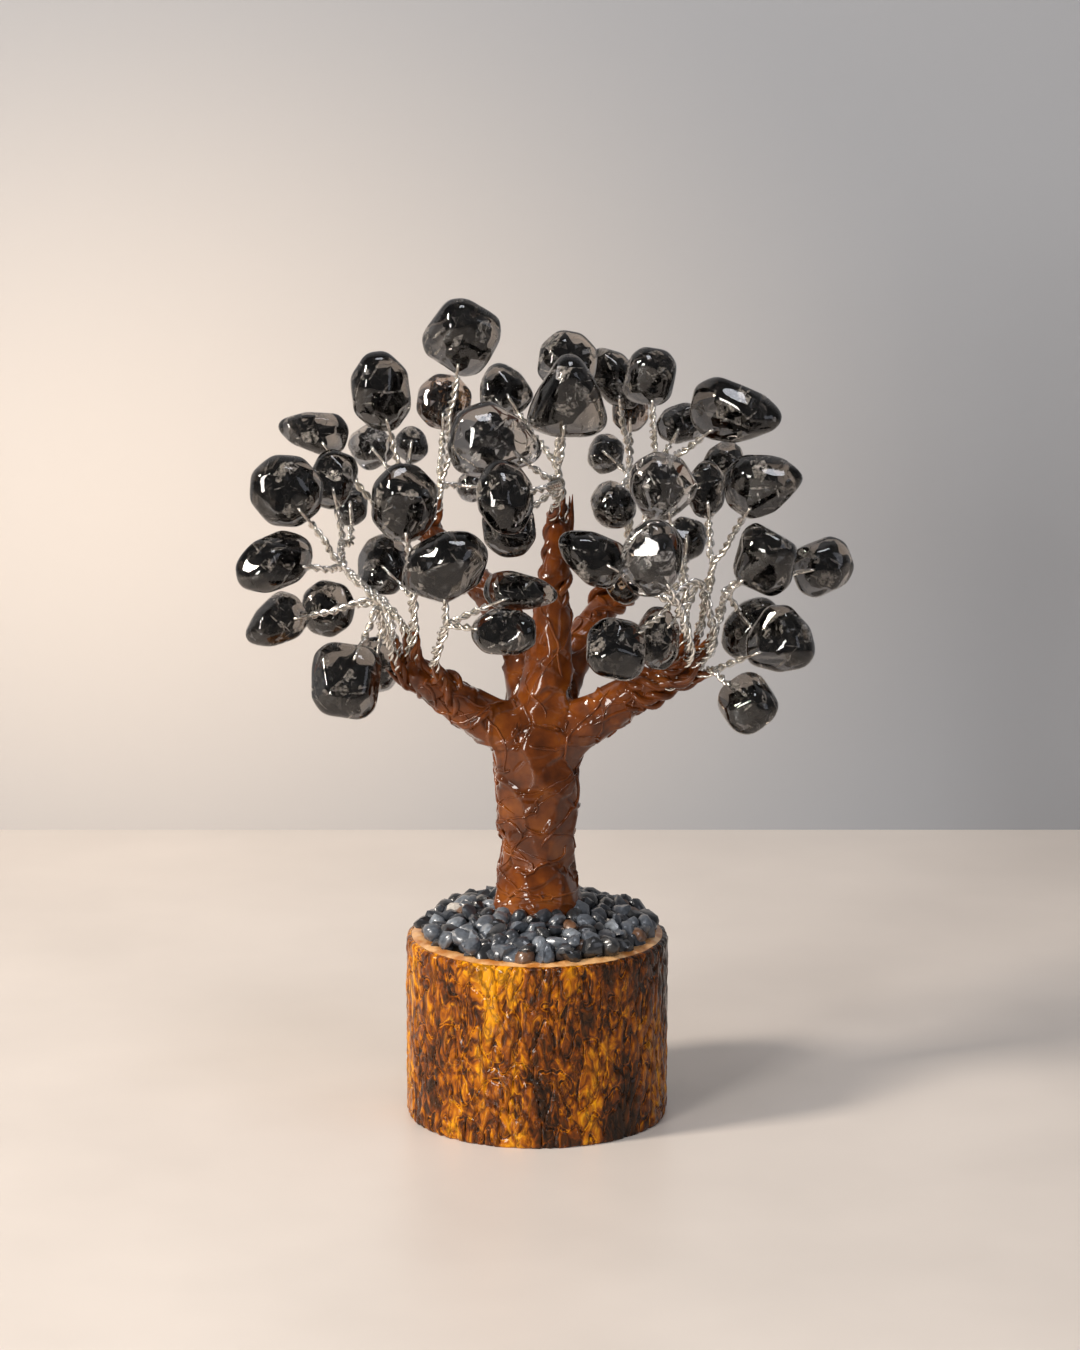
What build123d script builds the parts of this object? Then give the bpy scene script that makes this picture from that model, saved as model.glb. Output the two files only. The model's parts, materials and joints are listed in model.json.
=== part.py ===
"""Gemstone tree ornament: a barked log, a wrapped wire trunk with five limbs, and drilled stones on wire loops.

All lengths are in mm. The origin is the centre of the log's sawn underside, +Z is up, and -Y is the front.
"""

import os
from math import asin, atan2, cos, degrees, pi, radians, sin, sqrt

from build123d import *

os.makedirs("parts", exist_ok=True)

# Log: a sawn length of branch with its bark on, dished on top for the gravel
log_diameter = 56.0
log_height = 39.5
bark_thickness = 2.4
bark_furrow = 1.1
bark_ridges = 22
bark_fit = 0.05
rim_width = 1.8
recess_depth = 6.0
socket_depth = 22.0

# Bed of glue that rises to the trunk, and the gravel set on it
bed_lip = 0.8
bed_rise = 5.2
bed_fit = 0.05
chip_size = 4.0
chip_height = 2.1
chip_taper = 17.0
chip_gap = 0.12
chip_seat = 0.06
chip_sides = (5, 4, 5)

# Trunk and limbs: tape wound over the wires
trunk_height = 38.5
trunk_foot_diameter = 20.0
trunk_waist_diameter = 16.2
trunk_neck_diameter = 18.4
core_diameter = 7.0
core_fit = 0.05
limb_root_diameter = 12.5
leader_root_diameter = 14.5
limb_waist_diameter = 9.6
limb_tip_diameter = 8.4
leader_waist_diameter = 11.2
leader_tip_diameter = 6.6
mouth_depth = 6.0
mouth_fit = 0.12
limb_sides = 12

# Crown: half sizes of the space that the stones fill, and its middle above the fork of the trunk
crown_half_width = 64.0
crown_half_depth = 40.0
crown_half_height = 42.0
crown_lift = 50.0

# Wire: one wire is folded through each stone and twisted into a stem; stems join into branches
wire_diameter = 0.6
stem_diameter = 1.24
branch_diameter = 1.7
branch_gap = 0.9
mouth_stub = 1.5
loop_leg = 3.6
loop_rise = 1.1
stem_lead = 2.2
loop_grip = 0.8

# Stones: tumbled, drilled through near the end that hangs on the wire
stone_length = 16.0
stone_thickness = 9.0
bore_clearance = 0.08
bore_wall = 0.25
bore_sides = 8
face_tilt = 11.0
lean_limit = 45.0

# Shares of the sizes above
lean_share = 0.8
roll_share = 0.3
furrow_shares = (1.0, 0.45, 0.8, 0.3, 0.65)
ridge_width_shares = (1.0, 0.7, 1.3, 0.85, 1.15)
waist_share = 0.46
chip_height_shares = (1.0, 0.75, 1.2)
loop_turn_share = 0.75
limb_lap_share = 0.25
stone_level_shares = (-1.0, -0.3, 0.3, 1.0)
stone_spread_shares = (0.62, 1.0, 1.0, 0.62)

# Outlines of the stones, as shares of the half length and the half width
oval_shares = (
    (1.0, 0.38), (0.45, 0.95), (-0.40, 1.0), (-0.95, 0.45),
    (-1.0, -0.35), (-0.5, -0.95), (0.4, -1.0), (0.96, -0.42),
)
quad_shares = (
    (0.95, 0.62), (0.55, 1.0), (-0.70, 0.92), (-1.0, 0.55),
    (-0.95, -0.65), (-0.55, -1.0), (0.6, -0.88), (1.0, -0.45),
)
wedge_shares = (
    (1.0, 0.18), (0.5, 0.72), (-0.35, 1.0), (-0.92, 0.7),
    (-1.0, -0.4), (-0.6, -1.0), (0.3, -0.8), (0.95, -0.28),
)
pear_shares = (
    (1.0, 0.14), (0.35, 0.70), (-0.35, 1.0), (-0.9, 0.6),
    (-1.0, -0.35), (-0.62, -0.95), (0.05, -0.9), (0.9, -0.3),
)
heart_shares = (
    (1.0, 0.2), (0.1, 0.7), (-0.75, 1.0), (-1.0, 0.7),
    (-1.0, -0.65), (-0.75, -1.0), (0.15, -0.72), (0.98, -0.22),
)

# Limbs: middle and tip as shares of the crown, and the turn in degrees of the first branch in the mouth
limb_shares = {
    "left": ((-0.22, -0.05, -0.95), (-0.39, -0.15, -0.75)),
    "right": ((0.25, -0.05, -0.93), (0.46, -0.15, -0.74)),
    "leader": ((0.04, 0.03, -0.71), (0.07, 0.10, -0.07)),
    "back_left": ((-0.09, 0.30, -0.60), (-0.34, 0.63, -0.21)),
    "back_right": ((0.14, 0.33, -0.71), (0.30, 0.64, -0.43)),
}
first_branch_turn = {"left": 100, "right": 160, "leader": 55, "back_left": 220, "back_right": 185}

# Branches in their order round each mouth. Each has its bends and its fork as shares of the crown, and its stones:
# place, length, width, thickness, turn of the long axis in degrees from upright, and outline
branch_shares = {
    "left": {
        "hang": (((-0.47, -0.30, -0.60), (-0.51, -0.50, -0.36)), (
            ((-0.61, -0.65, -0.68), 0.97, 0.92, 1.11, 190, quad_shares),
        )),
        "front": (((-0.33, -0.38, -0.64), (-0.29, -0.55, -0.42)), (
            ((-0.29, -0.80, -0.09), 1.16, 0.86, 1.22, 52, oval_shares),
            ((-0.05, -0.50, -0.27), 0.99, 0.51, 0.89, 97, wedge_shares),
            ((-0.10, -0.85, -0.40), 0.98, 0.58, 1.00, 92, oval_shares),
        )),
        "up": (((-0.40, -0.28, -0.35),), (
            ((-0.42, -0.55, 0.18), 1.05, 0.84, 1.11, 0, oval_shares),
            ((-0.51, 0.40, -0.31), 0.98, 0.70, 0.89, -15, oval_shares),
        )),
        "out": (((-0.44, -0.17, -0.49), (-0.61, -0.05, -0.26)), (
            ((-0.81, -0.10, 0.16), 0.96, 0.90, 1.11, -42, oval_shares),
            ((-0.67, 0.23, 0.16), 0.78, 0.60, 0.89, 25, quad_shares),
            ((-0.84, -0.40, -0.14), 1.13, 0.70, 1.11, -110, oval_shares),
            ((-0.62, 0.68, -0.05), 0.64, 0.45, 0.78, 0, oval_shares),
        )),
        "low": (((-0.46, -0.03, -0.61), (-0.50, 0.07, -0.43)), (
            ((-0.85, -0.10, -0.50), 0.86, 0.65, 1.00, -122, wedge_shares),
            ((-0.69, 0.25, -0.50), 0.75, 0.74, 0.89, -80, oval_shares),
            ((-0.53, 0.20, -0.78), 0.76, 0.58, 0.89, 165, oval_shares),
        )),
    },
    "right": {
        "up": (((0.53, 0.00, -0.56), (0.57, -0.07, -0.22)), (
            ((0.73, -0.28, 0.23), 1.10, 0.85, 1.11, 72, pear_shares),
            ((0.55, 0.05, 0.14), 0.75, 0.49, 0.89, 4, oval_shares),
        )),
        "out": (((0.56, -0.17, -0.58), (0.61, -0.20, -0.33)), (
            ((0.73, -0.47, -0.11), 0.94, 0.80, 1.11, 22, quad_shares),
            ((0.93, 0.00, -0.24), 0.81, 0.70, 1.00, 72, quad_shares),
            ((0.70, 0.05, -0.56), 0.92, 0.65, 1.00, 35, oval_shares),
        )),
        "tall": (((0.48, -0.15, -0.54), (0.48, -0.20, -0.33)), (
            ((0.40, -0.45, 0.24), 0.94, 0.81, 1.11, -35, oval_shares),
            ((0.49, 0.25, -0.14), 0.63, 0.53, 0.89, 12, oval_shares),
            ((0.28, -0.15, -0.30), 0.52, 0.44, 0.78, -30, oval_shares),
        )),
        "in": (((0.49, -0.44, -0.57), (0.45, -0.62, -0.32)), (
            ((0.17, -0.60, -0.07), 0.94, 0.68, 1.00, -58, wedge_shares),
            ((0.36, -0.90, -0.03), 1.05, 0.78, 1.11, 3, oval_shares),
        )),
        "front": (((0.57, -0.30, -0.55), (0.53, -0.30, -0.28)), (
            ((0.25, -0.85, -0.48), 0.78, 0.78, 1.11, -80, quad_shares),
            ((0.39, -0.40, -0.52), 0.82, 0.54, 0.89, 0, oval_shares),
        )),
        "low": (((0.57, -0.30, -0.70),), (
            ((0.79, -0.40, -0.54), 0.87, 0.90, 1.11, 118, wedge_shares),
            ((0.67, -0.68, -0.79), 0.79, 0.71, 1.00, 150, quad_shares),
        )),
    },
    "leader": {
        "top": (((0.07, 0.12, 0.21),), (
            ((0.10, -0.07, 0.63), 1.11, 1.11, 1.11, 2, heart_shares),
            ((0.10, 0.25, 0.75), 0.81, 0.76, 0.89, 4, oval_shares),
            ((-0.11, 0.45, 0.58), 0.74, 0.71, 0.89, -20, wedge_shares),
        )),
        "side": (((0.07, -0.20, 0.20),), (
            ((-0.13, -0.40, 0.45), 1.31, 1.02, 1.22, 102, pear_shares),
            ((-0.10, -0.75, 0.24), 0.75, 0.93, 1.00, -95, oval_shares),
            ((-0.09, -0.28, 0.01), 0.77, 0.69, 0.89, -10, oval_shares),
        )),
    },
    "back_left": {
        "mid": (((-0.44, 0.40, 0.09),), (
            ((-0.51, 0.25, 0.60), 1.10, 0.76, 1.11, -8, oval_shares),
            ((-0.55, 0.65, 0.26), 0.61, 0.56, 0.78, -30, quad_shares),
            ((-0.42, 0.85, 0.23), 0.54, 0.43, 0.78, -10, oval_shares),
        )),
        "top": (((-0.32, 0.60, 0.07),), (
            ((-0.24, 0.20, 0.88), 0.97, 0.93, 1.11, 38, quad_shares),
            ((-0.31, 0.75, 0.47), 0.75, 0.72, 0.89, 5, oval_shares),
            ((-0.22, 0.85, 0.02), 0.43, 0.38, 0.67, 10, oval_shares),
        )),
        "out": (((-0.44, 0.62, -0.17), (-0.52, 0.45, -0.02)), (
            ((-0.74, 0.50, 0.36), 0.95, 0.58, 0.89, -80, wedge_shares),
        )),
    },
    "back_right": {
        "top": (((0.31, 0.60, 0.13),), (
            ((0.26, 0.55, 0.62), 0.95, 0.58, 1.00, -42, oval_shares),
            ((0.31, 0.75, 0.42), 0.53, 0.48, 0.78, -5, oval_shares),
            ((0.23, 0.90, 0.18), 0.56, 0.48, 0.78, -5, oval_shares),
            ((0.25, 0.25, 0.03), 0.66, 0.58, 0.89, -8, oval_shares),
        )),
        "mid": (((0.35, 0.50, -0.20), (0.39, 0.55, 0.14)), (
            ((0.37, 0.23, 0.68), 0.78, 0.65, 1.00, 14, quad_shares),
            ((0.65, 0.20, 0.51), 1.32, 0.91, 1.11, 96, pear_shares),
            ((0.48, 0.70, 0.37), 0.69, 0.51, 0.78, 70, oval_shares),
        )),
        "out": (((0.41, 0.60, -0.30), (0.55, 0.50, -0.21)), (
            ((0.61, 0.50, 0.16), 0.82, 0.56, 0.89, 22, oval_shares),
        )),
    },
}

# Worked out from the sizes above
log_radius = log_diameter / 2
core_wood_radius = log_radius - bark_thickness
recess_radius = core_wood_radius - rim_width
recess_floor = log_height - recess_depth
trunk_foot_top = log_height + bed_rise
fork_height = log_height + trunk_height
waist_height = trunk_foot_top + (fork_height - trunk_foot_top) * waist_share
crown_height = fork_height + crown_lift
bed_outer_height = log_height - bed_lip
bed_inner_radius = trunk_foot_diameter / 2 + bed_fit
wire_radius = wire_diameter / 2
bore_radius = wire_radius + bore_clearance
branch_pitch = branch_diameter + branch_gap
overrun = log_height


def place(shares):
    """A point of the crown from its shares of the crown's half sizes."""
    x, y, z = shares
    return Vector(x * crown_half_width, y * crown_half_depth, crown_height + z * crown_half_height)


def emit(piece, name):
    """Label a finished piece and write its file."""
    piece.label = name
    export_step(piece, f"parts/{name}.step")


# Log core: wood, dished on top and drilled for the wires
with BuildPart() as log_core:
    with BuildSketch():
        Circle(core_wood_radius)
    extrude(amount=log_height)
    with BuildSketch(Plane.XY.offset(recess_floor)):
        Circle(recess_radius)
    extrude(amount=overrun, mode=Mode.SUBTRACT)
    with BuildSketch(Plane.XY.offset(recess_floor)):
        Circle(core_diameter / 2 + core_fit)
    extrude(amount=-socket_depth, mode=Mode.SUBTRACT)
emit(log_core.part, "log_core")

# Bark: plates and furrows round the wood
ridge_total = sum(ridge_width_shares[k % len(ridge_width_shares)] for k in range(bark_ridges))
bark_outline = []
turned = 0.0
for k in range(bark_ridges):
    width = 2 * pi * ridge_width_shares[k % len(ridge_width_shares)] / ridge_total
    deep = bark_furrow * furrow_shares[k % len(furrow_shares)]
    for along, radius in ((0.0, log_radius - deep), (roll_share, log_radius), (1 - roll_share, log_radius)):
        angle = turned + width * along
        bark_outline.append((radius * cos(angle), radius * sin(angle)))
    turned += width
with BuildPart() as log_bark:
    with BuildSketch():
        with BuildLine():
            Polyline(*bark_outline, close=True)
        make_face()
        Circle(core_wood_radius + bark_fit, mode=Mode.SUBTRACT)
    extrude(amount=log_height)
emit(log_bark.part, "log_bark")

# Glue bed: a low cone in the recess, rising to the foot of the trunk
with BuildPart() as glue_bed:
    with BuildSketch(Plane.XZ):
        with BuildLine():
            Polyline(
                (bed_inner_radius, recess_floor),
                (recess_radius - bed_fit, recess_floor),
                (recess_radius - bed_fit, bed_outer_height),
                (bed_inner_radius, trunk_foot_top),
                close=True,
            )
        make_face()
    revolve(axis=Axis.Z)
emit(glue_bed.part, "glue_bed")

# Gravel: chips in rings down the slope of the bed, each flat on it
bed_run = recess_radius - bed_fit - bed_inner_radius
bed_drop = trunk_foot_top - bed_outer_height
bed_slope = sqrt(bed_run**2 + bed_drop**2)
chip_pitch = chip_size + chip_gap
chip_rings = int(bed_slope // chip_pitch)
ring_step = bed_slope / chip_rings
chip_planes = [[], [], []]
chip_index = 0
for ring in range(chip_rings):
    down = (ring + 0.5) * ring_step / bed_slope
    ring_radius = bed_inner_radius + bed_run * down
    ring_height = trunk_foot_top - bed_drop * down
    chip_count = int(2 * pi * ring_radius // chip_pitch)
    for k in range(chip_count):
        angle = 2 * pi * (k + 0.5 * (ring % 2)) / chip_count
        outward = Vector(cos(angle), sin(angle), 0)
        up = outward * (bed_drop / bed_slope) + Vector(0, 0, bed_run / bed_slope)
        spot = outward * ring_radius + Vector(0, 0, ring_height) + up * chip_seat
        spin = Vector(-sin(angle), cos(angle), 0).rotate(Axis((0, 0, 0), up), 37 * chip_index)
        chip_planes[chip_index % len(chip_planes)].append(Plane(origin=spot, x_dir=spin, z_dir=up))
        chip_index += 1
with BuildPart() as gravel_chips:
    for planes, height_share, sides in zip(chip_planes, chip_height_shares, chip_sides):
        with BuildSketch(*planes):
            RegularPolygon(chip_size / 2, sides)
        extrude(amount=chip_height * height_share, taper=chip_taper)
emit(gravel_chips.part, "gravel_chips")

# Limbs: centre points and diameters from the fork of the trunk to each mouth
fork_point = Vector(0, 0, fork_height)
limbs = {}
for name, (middle, tip) in limb_shares.items():
    points = [fork_point, place(middle), place(tip)]
    if name == "leader":
        sizes = [leader_root_diameter, leader_waist_diameter, leader_tip_diameter]
    else:
        sizes = [limb_root_diameter, limb_waist_diameter, limb_tip_diameter]
    axis = (points[2] - points[1]).normalized()
    count = len(branch_shares[name])
    ring = max(count * branch_pitch / (2 * pi), branch_pitch / 2)
    limbs[name] = (points, sizes, axis, ring)

# Trunk: foot, waist and neck, with the five limbs, drilled for the core and at each mouth
with BuildPart() as trunk_wrap:
    with BuildSketch(Plane.XY.offset(recess_floor)):
        Circle(trunk_foot_diameter / 2)
    extrude(amount=trunk_foot_top - recess_floor)
    with BuildSketch(Plane.XY.offset(trunk_foot_top)):
        Circle(trunk_foot_diameter / 2)
    with BuildSketch(Plane.XY.offset(waist_height)):
        Circle(trunk_waist_diameter / 2)
    with BuildSketch(Plane.XY.offset(fork_height)):
        Circle(trunk_neck_diameter / 2)
    loft(ruled=True)
    for points, sizes, axis, ring in limbs.values():
        for start, end, large, small in zip(points, points[1:], sizes, sizes[1:]):
            along = end - start
            lap = small / 2 * limb_lap_share if end is points[1] else 0
            thin = (large - small) / 2 * cos(pi / limb_sides)
            with BuildSketch(Plane(origin=start, z_dir=along)):
                RegularPolygon(large / 2, limb_sides)
            extrude(amount=along.length + lap, taper=degrees(atan2(thin, along.length)))
    with BuildSketch(Plane.XY.offset(recess_floor)):
        Circle(core_diameter / 2 + core_fit)
    extrude(amount=fork_height - recess_floor, mode=Mode.SUBTRACT)
    for points, sizes, axis, ring in limbs.values():
        with BuildSketch(Plane(origin=points[2], z_dir=axis)):
            RegularPolygon(ring + branch_diameter / 2 + mouth_fit, limb_sides, major_radius=False)
        extrude(amount=-mouth_depth - mouth_fit, mode=Mode.SUBTRACT)
emit(trunk_wrap.part, "trunk_wrap")

# Core: the bundle of wire that stands in the drilled log and runs up to the fork
with BuildPart() as trunk_core:
    with BuildSketch(Plane.XY.offset(recess_floor - socket_depth + core_fit)):
        Circle(core_diameter / 2)
    extrude(amount=fork_height - recess_floor + socket_depth - 2 * core_fit)
emit(trunk_core.part, "trunk_core_wires")


def reach(outline, heading):
    """How far the outline lies from the middle along a heading in its own plane."""
    found = []
    for (ax, ay), (bx, by) in zip(outline, outline[1:] + outline[:1]):
        ex, ey = bx - ax, by - ay
        cross = heading[0] * ey - heading[1] * ex
        if cross:
            far = (ax * ey - ay * ex) / cross
            part_way = (ax * heading[1] - ay * heading[0]) / cross
            if far > 0 and 0 <= part_way <= 1:
                found.append(far)
    return min(found)


class Stone:
    """A tumbled stone's frame and sizes, and the wire loop that carries it."""

    def __init__(self, row, fork):
        shares, length, width, thick, turn, outline = row
        self.centre = place(shares)
        self.thickness = thick * stone_thickness
        tilt = radians(face_tilt)
        into = Vector(0, cos(tilt), -sin(tilt))
        upward = Vector(0, sin(tilt), cos(tilt))
        toward = (self.centre - fork).normalized()
        depth = toward.dot(into)
        lean = radians(max(-lean_limit, min(lean_limit, lean_share * degrees(asin(depth)))))
        flat = (toward - into * depth).normalized()
        self.out = flat * cos(lean) + into * sin(lean)
        self.normal = flat * sin(lean) - into * cos(lean)
        across = self.out.cross(self.normal)
        swing = radians(turn) - atan2(flat.X, flat.dot(upward))
        long_axis = self.out * cos(swing) + across * sin(swing)
        self.plane = Plane(origin=self.centre, x_dir=long_axis, z_dir=self.normal)
        half_length, half_width = length * stone_length / 2, width * stone_length / 2
        self.outline = [(a * half_length, b * half_width) for a, b in outline]
        heading = (-self.out.dot(self.plane.x_dir), -self.out.dot(self.plane.y_dir))
        edge = reach(self.outline, heading)
        self.inset = edge * (1 - stone_spread_shares[0]) + bore_radius + bore_wall
        self.bore_local = (heading[0] * (edge - self.inset), heading[1] * (edge - self.inset))
        self.bore = self.centre - self.out * (edge - self.inset)
        self.eye = self.centre - self.out * (edge + loop_leg)
        self.across = across


def run(points, size, sides):
    """Sweep a straight-sided wire along a path of straight runs with mitred bends."""
    with BuildLine() as path:
        Polyline(*points)
    start = Plane(origin=path.line @ 0, z_dir=path.line % 0)
    with BuildSketch(start) as section:
        RegularPolygon(size / 2, sides)
    sweep(section.sketch, path=path.line, transition=Transition.RIGHT)


stones = {}
bores = {}
for limb, branches in branch_shares.items():
    points, sizes, axis, ring = limbs[limb]
    side = axis.cross(Vector(0, 0, 1)).normalized()
    other = axis.cross(side)
    with BuildPart() as spray:
        for slot, (branch, (route, rows)) in enumerate(branches.items()):
            angle = radians(first_branch_turn[limb]) + 2 * pi * slot / len(branches)
            offset = (side * cos(angle) + other * sin(angle)) * ring
            stops = [place(stop) for stop in route]
            foot = points[2] + offset
            run([foot - axis * mouth_depth, foot + axis * mouth_stub] + stops, branch_diameter, 6)
            for letter, row in zip("abcd", rows):
                stone = Stone(row, stops[-1])
                lead = stone.eye - stone.out * stem_lead
                run([stops[-1], lead, stone.eye], stem_diameter, 4)
                half = stone.thickness / 2
                tail = stone.eye - stone.out * loop_grip
                legs = []
                for way in (1, -1):
                    lift = stone.normal * way
                    legs.append([
                        tail + lift * wire_radius,
                        stone.bore - stone.out * (loop_rise * loop_turn_share) + lift * (half + loop_rise),
                        stone.bore + lift * (half + loop_rise * (1 - loop_turn_share)),
                    ])
                run(legs[0] + legs[1][::-1], wire_diameter, 4)
                label = f"stone_{limb}_{branch}_{letter}"
                stones[label] = stone
                bores[label] = (stone.bore, stone.normal)
    emit(spray.part, f"wires_{limb}")

for label, stone in stones.items():
    rings = []
    for level, spread in zip(stone_level_shares, stone_spread_shares):
        height = level * stone.thickness / 2
        rings.append([stone.plane.from_local_coords((a * spread, b * spread, height)) for a, b in stone.outline])
    facets = [Face(Wire.make_polygon(ring)) for ring in (rings[0], rings[-1])]
    for lower, upper in zip(rings, rings[1:]):
        for k, corner in enumerate(lower):
            facets.append(Face(Wire.make_polygon([lower[k - 1], corner, upper[k], upper[k - 1]])))
    with BuildPart() as body:
        add(Solid(Shell(facets)))
        with BuildSketch(stone.plane):
            with Locations(stone.bore_local):
                RegularPolygon(bore_radius, bore_sides, major_radius=False)
        extrude(amount=stone.thickness, both=True, mode=Mode.SUBTRACT)
    emit(body.part, label)
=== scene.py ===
"""Looks of a gemstone tree ornament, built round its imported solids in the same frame, in metres.

A short barked log holds gravel and a wrapped wire trunk. Twisted silver wires leave its five limbs, and each
ends in a loop through a drilled, tumbled stone of smoky quartz.
"""

import sys

import json
import logging
import math
import random
from dataclasses import dataclass, field
from enum import Enum

import bmesh
import bpy
import numpy as np
from bpy.types import (
    Collection, GeometryNodeTree, Material, Mesh, Node, NodeOutputs, NodeSocket, NodeTree, Object,
)
from mathutils import Matrix, Vector, kdtree, noise
from mathutils.bvhtree import BVHTree

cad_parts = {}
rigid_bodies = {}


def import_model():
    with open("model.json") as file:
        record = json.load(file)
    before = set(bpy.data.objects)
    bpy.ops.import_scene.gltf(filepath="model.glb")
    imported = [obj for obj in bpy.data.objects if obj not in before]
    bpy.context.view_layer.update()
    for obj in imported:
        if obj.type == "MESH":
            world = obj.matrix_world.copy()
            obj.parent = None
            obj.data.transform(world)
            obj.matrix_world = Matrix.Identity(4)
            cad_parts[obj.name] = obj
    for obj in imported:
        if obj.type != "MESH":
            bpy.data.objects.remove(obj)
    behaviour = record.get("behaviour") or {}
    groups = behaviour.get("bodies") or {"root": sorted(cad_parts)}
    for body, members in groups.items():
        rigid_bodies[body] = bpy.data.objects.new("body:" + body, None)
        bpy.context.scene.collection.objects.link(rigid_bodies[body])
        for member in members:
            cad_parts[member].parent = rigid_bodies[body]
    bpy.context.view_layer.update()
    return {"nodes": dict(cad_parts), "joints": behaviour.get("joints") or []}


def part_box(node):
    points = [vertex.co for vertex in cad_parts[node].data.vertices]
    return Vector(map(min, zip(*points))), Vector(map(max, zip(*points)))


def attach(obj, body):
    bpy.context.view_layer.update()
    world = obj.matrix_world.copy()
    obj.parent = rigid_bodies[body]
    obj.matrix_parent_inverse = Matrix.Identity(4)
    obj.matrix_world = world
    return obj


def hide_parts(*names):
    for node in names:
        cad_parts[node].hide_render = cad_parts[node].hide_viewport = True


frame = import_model()

MM = 0.001
FORK_HEIGHT = 78.0
CAST = 40
SLOPE_STEP = 0.05
CHANCES = 4096
RUN_SHIFT = 40.0
Share = tuple[float, float, float]
LOG = logging.getLogger("gem_tree")


def linear(colour: str) -> tuple[float, float, float, float]:
    """Turn an sRGB hex colour into linear RGBA.

    Args:
        colour: Six hex digits after a hash sign.

    Returns:
        Linear red, green, blue and an alpha of 1.
    """
    values = [int(colour[k : k + 2], 16) / 255 for k in (1, 3, 5)]
    return (*[v / 12.92 if v <= 0.04045 else ((v + 0.055) / 1.055) ** 2.4 for v in values], 1.0)


def add_node(
    tree: NodeTree,
    kind: str,
    inputs: dict[str | int, object] | None = None,
    stops: tuple[tuple[float, str], ...] = (),
    **settings: object,
) -> Node:
    """Add a node to a tree with its settings, values and links.

    Args:
        tree: The shader or geometry tree.
        kind: The node's type name.
        inputs: Input socket name or index to what goes in: an output socket, a node for its first output,
            or a constant.
        stops: Places and colours along a colour ramp, in order.
        **settings: Properties of the node.

    Returns:
        The new node.
    """
    node = tree.nodes.new(kind)
    for name, value in settings.items():
        setattr(node, name, value)
    for key, value in (inputs or {}).items():
        if isinstance(value, Node):
            tree.links.new(value.outputs[0], node.inputs[key])
        elif isinstance(value, NodeSocket):
            tree.links.new(value, node.inputs[key])
        else:
            node.inputs[key].default_value = value
    if stops:
        elements = node.color_ramp.elements
        elements.remove(elements[1])
        elements[0].position = stops[0][0]
        elements[0].color = linear(stops[0][1])
        for place, colour in stops[1:]:
            elements.new(place).color = linear(colour)
    return node


def blank_material(name: str) -> tuple[Material, NodeTree, NodeSocket]:
    """Make a material with an empty tree.

    Args:
        name: Name of the material.

    Returns:
        The material, its tree and the Object coordinates for its patterns.
    """
    mat = bpy.data.materials.new(name)
    mat.use_nodes = True
    tree = mat.node_tree
    tree.nodes.clear()
    return mat, tree, add_node(tree, "ShaderNodeTexCoord").outputs["Object"]


def new_object(name: str, mesh: Mesh) -> Object:
    """Link a mesh into the scene as an object at the origin."""
    obj = bpy.data.objects.new(name, mesh)
    bpy.context.scene.collection.objects.link(obj)
    return obj


def shade_mesh(mesh: Mesh, smooth: bool = True) -> None:
    """Shade every face of a mesh smooth, or else flat."""
    mesh.polygons.foreach_set("use_smooth", [smooth] * len(mesh.polygons))


def mesh_from(name: str, verts: np.ndarray, faces: list, smooth: bool = True) -> Mesh:
    """Make a mesh from points and faces.

    Args:
        name: Name of the mesh.
        verts: Points, in metres.
        faces: Corner indices of each face.
        smooth: Whether its faces are shaded smooth.

    Returns:
        The mesh.
    """
    mesh = bpy.data.meshes.new(name)
    mesh.from_pydata([tuple(v) for v in verts], [], faces)
    shade_mesh(mesh, smooth)
    mesh.update()
    return mesh


def ring_faces(rows: int, columns: int, closed: bool = False) -> list[list[int]]:
    """Faces between rings of points that lie one after another.

    Args:
        rows: How many rings there are.
        columns: Points in a ring.
        closed: Whether the last ring joins the first.

    Returns:
        Corner indices of each face.
    """
    faces = []
    for row in range(rows if closed else rows - 1):
        here, beyond = row * columns, (row + 1) % rows * columns
        for k in range(columns):
            after = (k + 1) % columns
            faces.append([here + k, here + after, beyond + after, beyond + k])
    return faces


def baked(obj: Object) -> Object:
    """Turn an object with modifiers into a plain mesh object of the same name.

    Args:
        obj: The object, which is removed.

    Returns:
        The plain mesh object.
    """
    name = obj.name
    graph = bpy.context.evaluated_depsgraph_get()
    mesh = bpy.data.meshes.new_from_object(obj.evaluated_get(graph))
    bpy.data.objects.remove(obj)
    mesh.name = name
    return new_object(name, mesh)


def joined(name: str, parts: list[Object]) -> Object:
    """Join plain mesh objects into one, keeping their materials.

    Args:
        name: Name of the joined object.
        parts: Mesh objects at the origin.

    Returns:
        The joined object.
    """
    with bpy.context.temp_override(active_object=parts[0], selected_editable_objects=parts):
        bpy.ops.object.join()
    parts[0].name = name
    parts[0].data.name = name
    return parts[0]


def settle(obj: Object, body: str, slot: str, *nodes: str) -> None:
    """Hand a finished piece to the frame and report it.

    Args:
        obj: The piece.
        body: The body that it moves with.
        slot: The record's material slot of the piece; not used.
        *nodes: The solids that it stands for.
    """
    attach(obj, body)
    if nodes:
        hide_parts(*nodes)
    LOG.info("%s: %d faces on %s", obj.name, len(obj.data.polygons), body)


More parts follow.
